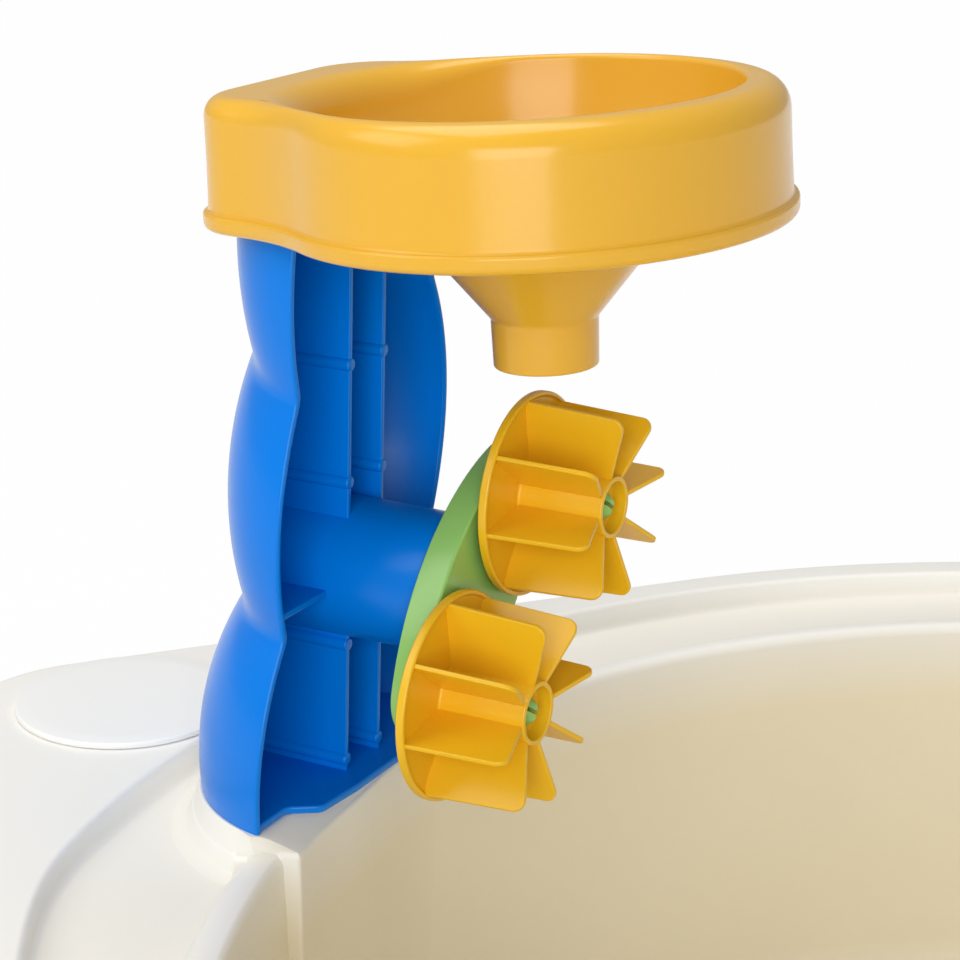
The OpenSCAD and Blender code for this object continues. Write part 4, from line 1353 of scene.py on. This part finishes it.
@dataclass
class HopperMoulding(SubAssembly):
    """The hopper: flange, rounded wall, land, bowl, funnel and spout."""

    height: float = 44.6
    flange_r: float = 92.6
    squash: float = 0.913
    flange_x: float = 67.1
    flange_h: float = 6.0
    flange_out: float = 2.5
    spout_x: float = 66.8
    end_back: float = 44.0
    end_half_w: float = 58.5
    end_corner: float = 31.5
    neck_at: float = 124.6
    rim_round: float = 10.0
    rim_end: float = 7.0
    wall: float = 2.5
    bowl_r: float = 80.0
    bowl_x: float = 61.5
    bowl_low: float = 12.0
    bowl_draft: float = 4.4
    bowl_fillet: float = 8.5
    spout_r: float = 18.0
    spout_len: float = 17.0
    cone_drop: float = 33.0
    cone_slope: float = 0.795
    roll_side: float = 2.0
    roll_end: float = 12.0
    roll_from: float = 118.0
    roll_to: float = 158.0
    crisp: float = 50.0
    stub_r: float = 5.0
    stub_at: tuple[Point2, ...] = ((-26.4, 25.2), (-26.4, -25.2))

    def plan(self) -> np.ndarray:
        """Outline of the flange before it is squashed: bowl end, hollow necks, round corners and flat end.

        Returns:
            Anticlockwise points from the bowl end.
        """
        rc, rf, x_end = self.end_corner, self.flange_r, -self.end_back / self.squash
        f = np.array([self.flange_x / self.squash, 0.0])
        c = np.array([x_end + rc, self.end_half_w - rc])
        d = np.array([math.cos(math.radians(self.neck_at)), math.sin(math.radians(self.neck_at))])
        to = f + rf * d - c
        rn = float((to @ to - rc * rc) / (2 * (rc - to @ d)))
        n = f + (rf + rn) * d
        e = c - n
        last = math.degrees(math.atan2(e[1], e[0]))
        pts = arc(tuple(f), rf, 0, self.neck_at, 72)
        pts += arc(tuple(n), rn, self.neck_at - 180, last, 22)[1:]
        pts += arc(tuple(c), rc, last + 180, 180, 16)[1:]
        pts += [(x_end, c[1] * (1 - k / 5)) for k in range(1, 6)]
        return np.array(pts + [(x, -y) for x, y in pts[-2:0:-1]])

    def rings(self) -> np.ndarray:
        """Rings from the flange up the wall, over the rim, down the bowl and back under it.

        Returns:
            Array of rings by points by 3.
        """
        p = self.plan()
        nrm = outward(p)
        q, h, o, t = self.squash, self.height, self.flange_out, self.wall
        low, drop, fillet = self.bowl_low, self.cone_drop, self.bowl_fillet
        mid = np.array([self.bowl_x / q, 0.0])
        ang = np.arctan2(p[:, 1], p[:, 0] - mid[0])
        way = np.stack([np.cos(ang), np.sin(ang)], 1)
        k = ease((np.degrees(np.abs(ang)) - self.roll_from) / (self.roll_to - self.roll_from))[:, None]
        roll = self.roll_side + (self.roll_end - self.roll_side) * k
        rr = self.rim_round + (self.rim_end - self.rim_round) * k
        mouth = self.bowl_r - 0.6
        lip = mid + way * (mouth + roll)
        out = p - nrm * (o + 0.4)
        side = np.minimum(rr, np.linalg.norm(out - lip, axis=1, keepdims=True) - 0.4)
        land = out - nrm * side
        rows: list[np.ndarray] = []

        def put(xy: np.ndarray, w: np.ndarray | float) -> None:
            """Adds a ring given before the squash."""
            rows.append(np.concatenate([xy * (q, 1.0), np.broadcast_to(w, (len(p), 1))], 1))

        def bowl(r: np.ndarray | float, w: np.ndarray | float, pull: float = 0.0) -> None:
            """Adds a ring of the bowl.

            Args:
                r: Radius.
                w: Height.
                pull: How far it is drawn to the round funnel, from 0 to 1.
            """
            x = self.bowl_x + (self.spout_x - self.bowl_x) * pull
            xy = way * r * (q + (1 - q) * pull, 1.0) + (x, 0.0)
            rows.append(np.concatenate([xy, np.broadcast_to(w, (len(p), 1))], 1))

        fh = self.flange_h
        for d, w in soften([(o + t, 0, 0), (0, 0, 2.4), (0, fh, 2.4), (o - 0.4, fh + 0.3, 1.6),
                            (o + 0.2, h * 0.5, 0), (o + 0.4, h - self.rim_round, 0)], 6):
            put(p - nrm * d, w)
        for b in np.linspace(0.12, math.pi / 2, 10):
            put(out - nrm * side * (1 - math.cos(b)), h - rr + rr * math.sin(b))
        for f in (0.33, 0.66):
            put(land + (lip - land) * f, h)
        for b in np.linspace(0, math.pi / 2, 9):
            put(lip - way * roll * math.sin(b), h - roll + roll * math.cos(b))
        for f in np.linspace(0.2, 1, 5):
            bowl(mouth - self.bowl_draft * f ** 1.5, (h - roll) * (1 - f) + (low + fillet) * f)
        for b in np.linspace(0.2, 1.35, 6):
            bowl(mouth - self.bowl_draft - 9.0 * (1 - math.cos(b)), low + fillet - 6.8 * math.sin(b))
        bore, deep = self.spout_r - t, drop + low
        cone = bore + deep * self.cone_slope
        for d, w, pull in ((6.0, 0.9, 0.8), (2.4, 0.1, 0.95), (-0.6, -1.9, 1.0)):
            bowl(cone + d, low + w, pull)
        for f in (0.8, 0.6, 0.4, 0.2, 0.06):
            bowl(bore + deep * self.cone_slope * f, -drop + deep * f, 1.0)
        end = -drop - self.spout_len
        for r, w in soften([(bore + 0.2, -drop - 0.6, 0), (bore, -drop - 4, 0), (bore, end, 0.7),
                            (self.spout_r, end, 0.9), (self.spout_r + 0.4, -drop, 2.2),
                            (cone + t, low - 1.5, 0)], 5):
            bowl(r, w, 1.0)
        bowl(cone + t + 4.0, low - 1.4, 0.7)
        bowl(self.bowl_r + t - 5.0, low + 3.4)
        bowl(self.bowl_r + t, h - roll - 1.4)
        put(lip + way * 0.6, h - t)
        put(out - nrm * (side * 0.3 + t * 0.7), h - rr * 0.3 - t * 0.7)
        put(p - nrm * (o + t), h - rr)
        return np.stack(rows)

    def build(self) -> None:
        """Makes and dresses the hopper."""
        m = move(self.at.tower_x, 0, self.at.pivot_z + self.at.seat_up) @ spin(-self.at.hopper_tilt, "Y")
        s = Shape()
        s.grid(self.rings(), wrap_rows=True, wrap_cols=True, at=m)
        r, screw, top = self.stub_r, self.at.screw_r, self.height - self.wall * 0.6
        for x, y in self.stub_at:
            tube = [(screw, 0, 0), (r, 0, 0.4), (r, top, 0), (screw, top, 0)]
            s.turn(tube, 3, 28, m @ move(x, y, 0), loop=True)
        self.dresser.piece(s.mesh_object("hopper_moulding", self.crisp), Slot.HOPPER, Body.TABLE, "hopper")


@dataclass
class SpinnerArm(SubAssembly):
    """The oval arm with its spindle, and the split pins that carry the wheels."""

    half_l: float = 58.0
    half_w: float = 27.75
    end_r: float = 16.5
    edge: float = 0.9
    face: float = 3.0
    skirt: float = 2.4
    spindle_r: float = 8.0
    spindle_len: float = 4.7
    pin_r: float = 4.24
    pin_play: float = 0.1
    pin_turn: float = 50.0
    collar_r: float = 7.0
    collar_t: float = 2.0
    bore_len: float = 29.3
    play: float = 0.35
    snap_over: float = 0.9
    snap_len: float = 4.6
    slot_w: float = 1.6
    slot_deep: float = 10.0

    def oval(self) -> tuple[np.ndarray, np.ndarray]:
        """Outline of the arm.

        Returns:
            Points and outward normals.
        """
        c, re, w = self.half_l - self.end_r, self.end_r, self.half_w
        big = (c * c + w ** 2 - re ** 2) / (2 * (w - re))
        turn = math.degrees(math.atan2(big - w, c))
        pts, nrm = [], []
        for cx, cy, r, a0, a1, n in ((c, 0, re, -turn, turn, 24), (0, w - big, big, turn, 180 - turn, 40),
                                     (-c, 0, re, 180 - turn, 180 + turn, 24),
                                     (0, big - w, big, 180 + turn, 360 - turn, 40)):
            for a in np.radians(np.linspace(a0, a1, n, endpoint=False)):
                pts.append((cx + r * math.cos(a), cy + r * math.sin(a)))
                nrm.append((math.cos(a), math.sin(a)))
        return np.array(pts), np.array(nrm)

    def arm(self) -> None:
        """Makes and dresses the arm."""
        d, e, t = self.at.arm_depth, self.edge, self.skirt
        back, screw, rs, zs = d - self.face, self.at.screw_r, self.spindle_r, -self.spindle_len
        rings = [(e - e * math.sin(a), d - e + e * math.cos(a)) for a in np.linspace(0, math.pi / 2, 5)]
        rings += [(0.15, 0.5), (0.5, 0.0), (t - 0.4, 0.0), (t, 0.5), (t, back - 1), (t + 1, back)]
        m = along_x(self.at.arm_x, 0, self.at.pivot_z)
        turned = m @ spin(self.at.arm_angle, "Z")
        s = Shape()
        s.stack(drawn_in(*self.oval(), rings), turned)
        s.turn([(0, back + 0.5, 0), (rs, back + 0.5, 0), (rs, zs, 0.4), (screw, zs, 0.2), (screw, 6, 0),
                (0, 6, 0)], 3, 56, m)
        ri, ro = self.pin_r + self.pin_play, self.pin_r + t
        for k in (-1, 1):
            s.turn([(ri, 1, 0.3), (ro, 1, 0.5), (ro, back + 0.5, 0), (ri, back + 0.5, 0)], 3, 40,
                   turned @ move(k * self.at.wheel_off, 0, 0), loop=True)
        self.dresser.piece(s.mesh_object("arm_moulding"), Slot.ARM, Body.SPINNER, "spinner_arm")

    def split_pin(self, sign: int, node: str) -> None:
        """Makes and dresses one axle pin with a slotted snap head.

        Args:
            sign: 1 for the upper wheel and -1 for the lower one.
            node: The CAD node.
        """
        zh = self.collar_t + 2 * self.play + self.bore_len
        zs, z0 = zh - self.slot_deep, 1.5 - self.at.arm_depth
        y, z = self.at.wheel_at(sign)
        m = along_x(self.at.pin_x, y, z) @ spin(self.pin_turn, "Z")
        r, ro, top = self.pin_r, self.pin_r + self.snap_over, zh + self.snap_len
        rc, tc, w = self.collar_r, self.collar_t, self.slot_w / 2
        s = Shape()
        s.turn([(0, z0, 0), (r, z0, 0.5), (r, 0, 0), (rc, 0, 0.2), (rc, tc, 0.5), (r, tc, 0.2), (r, zs, 0),
                (0, zs, 0)], 3, 48, m)
        head = soften([(r, zs, 0), (r, zh, 0.1), (ro, zh, 0.4), (ro, zh + 1.2, 1.0),
                       (r * 0.72, top - 0.5, 2.2), (0, top, 0)], 5)
        for k in (1, -1):
            rows = []
            for hr, hz in head:
                a = math.acos(min(1.0, w / max(hr, w)))
                turns = np.linspace(-a, a, 20)
                pts = [(hr * math.cos(b), hr * math.sin(b)) if hr > w else (w, 0.0) for b in turns]
                rows.append([(k * max(px, w), k * py, hz) for px, py in pts])
            g = np.array(rows)
            i = s.grid(g, at=m)
            nr, nc = g.shape[:2]
            for j in range(nr - 1):
                low, high = i + j * nc, i + (j + 1) * nc
                s.faces.append((low, high, high + nc - 1, low + nc - 1))
            s.faces.append(tuple(range(i + nc - 1, i - 1, -1)))
        self.dresser.piece(s.mesh_object(node + "_moulding"), Slot.ARM, Body.SPINNER, node)

    def build(self) -> None:
        """Makes the arm and both pins and dresses the spindle's fastening."""
        self.arm()
        self.split_pin(1, "upper_axle_pin")
        self.split_pin(-1, "lower_axle_pin")
        for node in ("spindle_washer", "spindle_screw"):
            self.dresser.node(node, Slot.STEEL)


@dataclass
class WaterWheel(SubAssembly):
    """One water wheel: disc with a lip, hub tube and vanes."""

    radius: float = 37.5
    disc_t: float = 2.2
    lip: float = 1.1
    lip_w: float = 1.6
    hub_len: float = 35.3
    hub_r: float = 11.3
    mouth_r: float = 9.45
    mouth_d: float = 6.0
    bore_r: float = 4.3
    vanes: int = 8
    vane_t: float = 1.8
    vane_len: float = 41.2
    vane_in: float = 0.9
    vane_taper: float = 2.0
    vane_round: float = 4.0
    vane_angle: float = 8.0

    def build(self, sign: int, node: str, body: Body) -> None:
        """Makes and dresses one wheel.

        Args:
            sign: 1 for the upper wheel and -1 for the lower one.
            node: The CAD node.
            body: The body that it rides on.
        """
        m = along_x(self.at.wheel_x, *self.at.wheel_at(sign))
        s = Shape()
        r, t, hl, rb, rm, rh = self.radius, self.disc_t, self.hub_len, self.bore_r, self.mouth_r, self.hub_r
        rl, tl, web = r - self.lip_w, t + self.lip, hl - self.mouth_d
        s.turn([(rb, 0, 0.3), (r, 0, 0.8), (r, tl, 0.7), (rl, tl, 0.6), (rl - 0.3, t, 0.8),
                (rh + 0.2, t, 1.0), (rh, hl, 0.5), (rm, hl, 0.5), (rm, web, 0.8), (rb, web, 0.4)],
               4, 112, m, loop=True)
        ro = r - self.vane_in
        line = soften([(rh - 0.8, 1.2, 0), (ro, 1.2, 0),
                       (ro - self.vane_taper, self.vane_len, self.vane_round),
                       (rh + 4.5, hl + 0.6, 3.0), (rh - 0.8, hl - 1.0, 0)], 7, closed=True)
        for k in range(self.vanes):
            turned = m @ spin(self.vane_angle + 360 / self.vanes * k, "Z")
            s.slab(line, 0.0, self.vane_t, 0.5, turned @ move(0, self.vane_t / 2, 0) @ spin(90, "X"))
        self.dresser.piece(s.mesh_object(node + "_moulding"), Slot.WHEEL, body, node)


# Studio


@dataclass(frozen=True)
class SoftBox:
    """One soft studio light."""

    name: str
    place: Point3
    aim: Point3
    size: float
    power: float

    def build(self) -> None:
        """Adds the light, turned to its aim."""
        lamp = bpy.data.lights.new(self.name, "AREA")
        lamp.size = self.size
        lamp.energy = self.power
        obj = bpy.data.objects.new(self.name, lamp)
        obj.location = self.place
        obj.rotation_euler = (Vector(self.aim) - Vector(self.place)).to_track_quat("-Z", "Y").to_euler()
        bpy.context.scene.collection.objects.link(obj)


@dataclass
class Studio:
    """Floor, light and camera, in metres and radians."""

    floor_half: float = 14.0
    floor_grey: float = 0.9
    floor_rough: float = 0.9
    floor_glow: float = 0.985
    world_light: float = 0.4
    lens: float = 90.0
    sensor: float = 36.0
    view_end: float = 60.0
    camera_at: Point3 = (0.1745, -0.701, 0.8212)
    camera_dip: float = 0.318
    camera_turn: float = 0.504
    boxes: tuple[SoftBox, ...] = (
        SoftBox("front_box", (1.08, -2.82, 1.3), (-0.2, 0.0, 0.5), 2.0, 56.0),
        SoftBox("side_box", (-1.5, -1.2, 2.0), (-0.2, 0.0, 0.5), 1.3, 12.0),
        SoftBox("top_box", (-0.7, 0.2, 2.5), (-0.35, 0.0, 0.5), 1.5, 21.0),
    )

    def floor(self) -> None:
        """Adds the pale floor, which the camera sees almost white and which keeps a little shadow."""
        h, grey = self.floor_half, self.floor_grey
        mesh = bpy.data.meshes.new("floor")
        mesh.from_pydata([(-h, -h, 0), (h, -h, 0), (h, h, 0), (-h, h, 0)], [], [(0, 1, 2, 3)])
        obj = bpy.data.objects.new("floor", mesh)
        bpy.context.scene.collection.objects.link(obj)
        m = bpy.data.materials.new("studio_floor")
        m.use_nodes = True
        t = m.node_tree
        bsdf = t.nodes["Principled BSDF"]
        bsdf.inputs["Base Color"].default_value = (grey, grey, grey, 1)
        bsdf.inputs["Roughness"].default_value = self.floor_rough
        glow = t.nodes.new("ShaderNodeEmission")
        glow.inputs["Color"].default_value = (1, 1, 1, 1)
        path = t.nodes.new("ShaderNodeLightPath")
        either = t.nodes.new("ShaderNodeMath")
        either.operation = "MAXIMUM"
        t.links.new(path.outputs["Is Camera Ray"], either.inputs[0])
        t.links.new(path.outputs["Is Glossy Ray"], either.inputs[1])
        part = t.nodes.new("ShaderNodeMath")
        part.operation = "MULTIPLY"
        part.inputs[1].default_value = self.floor_glow
        t.links.new(either.outputs[0], part.inputs[0])
        mix = t.nodes.new("ShaderNodeMixShader")
        for source, socket in zip((part, bsdf, glow), mix.inputs):
            t.links.new(source.outputs[0], socket)
        t.links.new(mix.outputs[0], t.nodes["Material Output"].inputs["Surface"])
        mesh.materials.append(m)

    def light(self) -> None:
        """Adds the world light and the soft boxes."""
        world = bpy.data.worlds.new("studio")
        bpy.context.scene.world = world
        world.use_nodes = True
        sky = world.node_tree.nodes["Background"].inputs
        sky["Color"].default_value = (1, 1, 1, 1)
        sky["Strength"].default_value = self.world_light
        for box in self.boxes:
            box.build()

    def camera(self) -> None:
        """Adds the camera at the photograph's viewing angle."""
        scene = bpy.context.scene
        cam = bpy.data.cameras.new("view")
        cam.lens = self.lens
        cam.sensor_width = self.sensor
        cam.clip_end = self.view_end
        obj = bpy.data.objects.new("view", cam)
        obj.location = self.camera_at
        obj.rotation_euler = (math.pi / 2 - self.camera_dip, 0.0, self.camera_turn)
        scene.collection.objects.link(obj)
        scene.camera = obj

    def build(self) -> None:
        """Sets up the whole studio."""
        bpy.context.scene.view_settings.view_transform = "Standard"
        self.floor()
        self.light()
        self.camera()


def main() -> None:
    """Builds every sub-assembly, then the studio."""
    logging.basicConfig(level=logging.INFO, format="%(name)s: %(message)s")
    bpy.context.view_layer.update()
    given = (Layout(), Dresser())
    tower = TowerMoulding(*given)
    BasinMoulding(*given).build(tower)
    CoverAndPlug(*given).build()
    LegSet(*given).build()
    tower.build()
    HopperMoulding(*given).build()
    SpinnerArm(*given).build()
    WaterWheel(*given).build(1, "upper_wheel", Body.WHEEL_UPPER)
    WaterWheel(*given).build(-1, "lower_wheel", Body.WHEEL_LOWER)
    Studio().build()


if __name__ == "__main__":
    main()
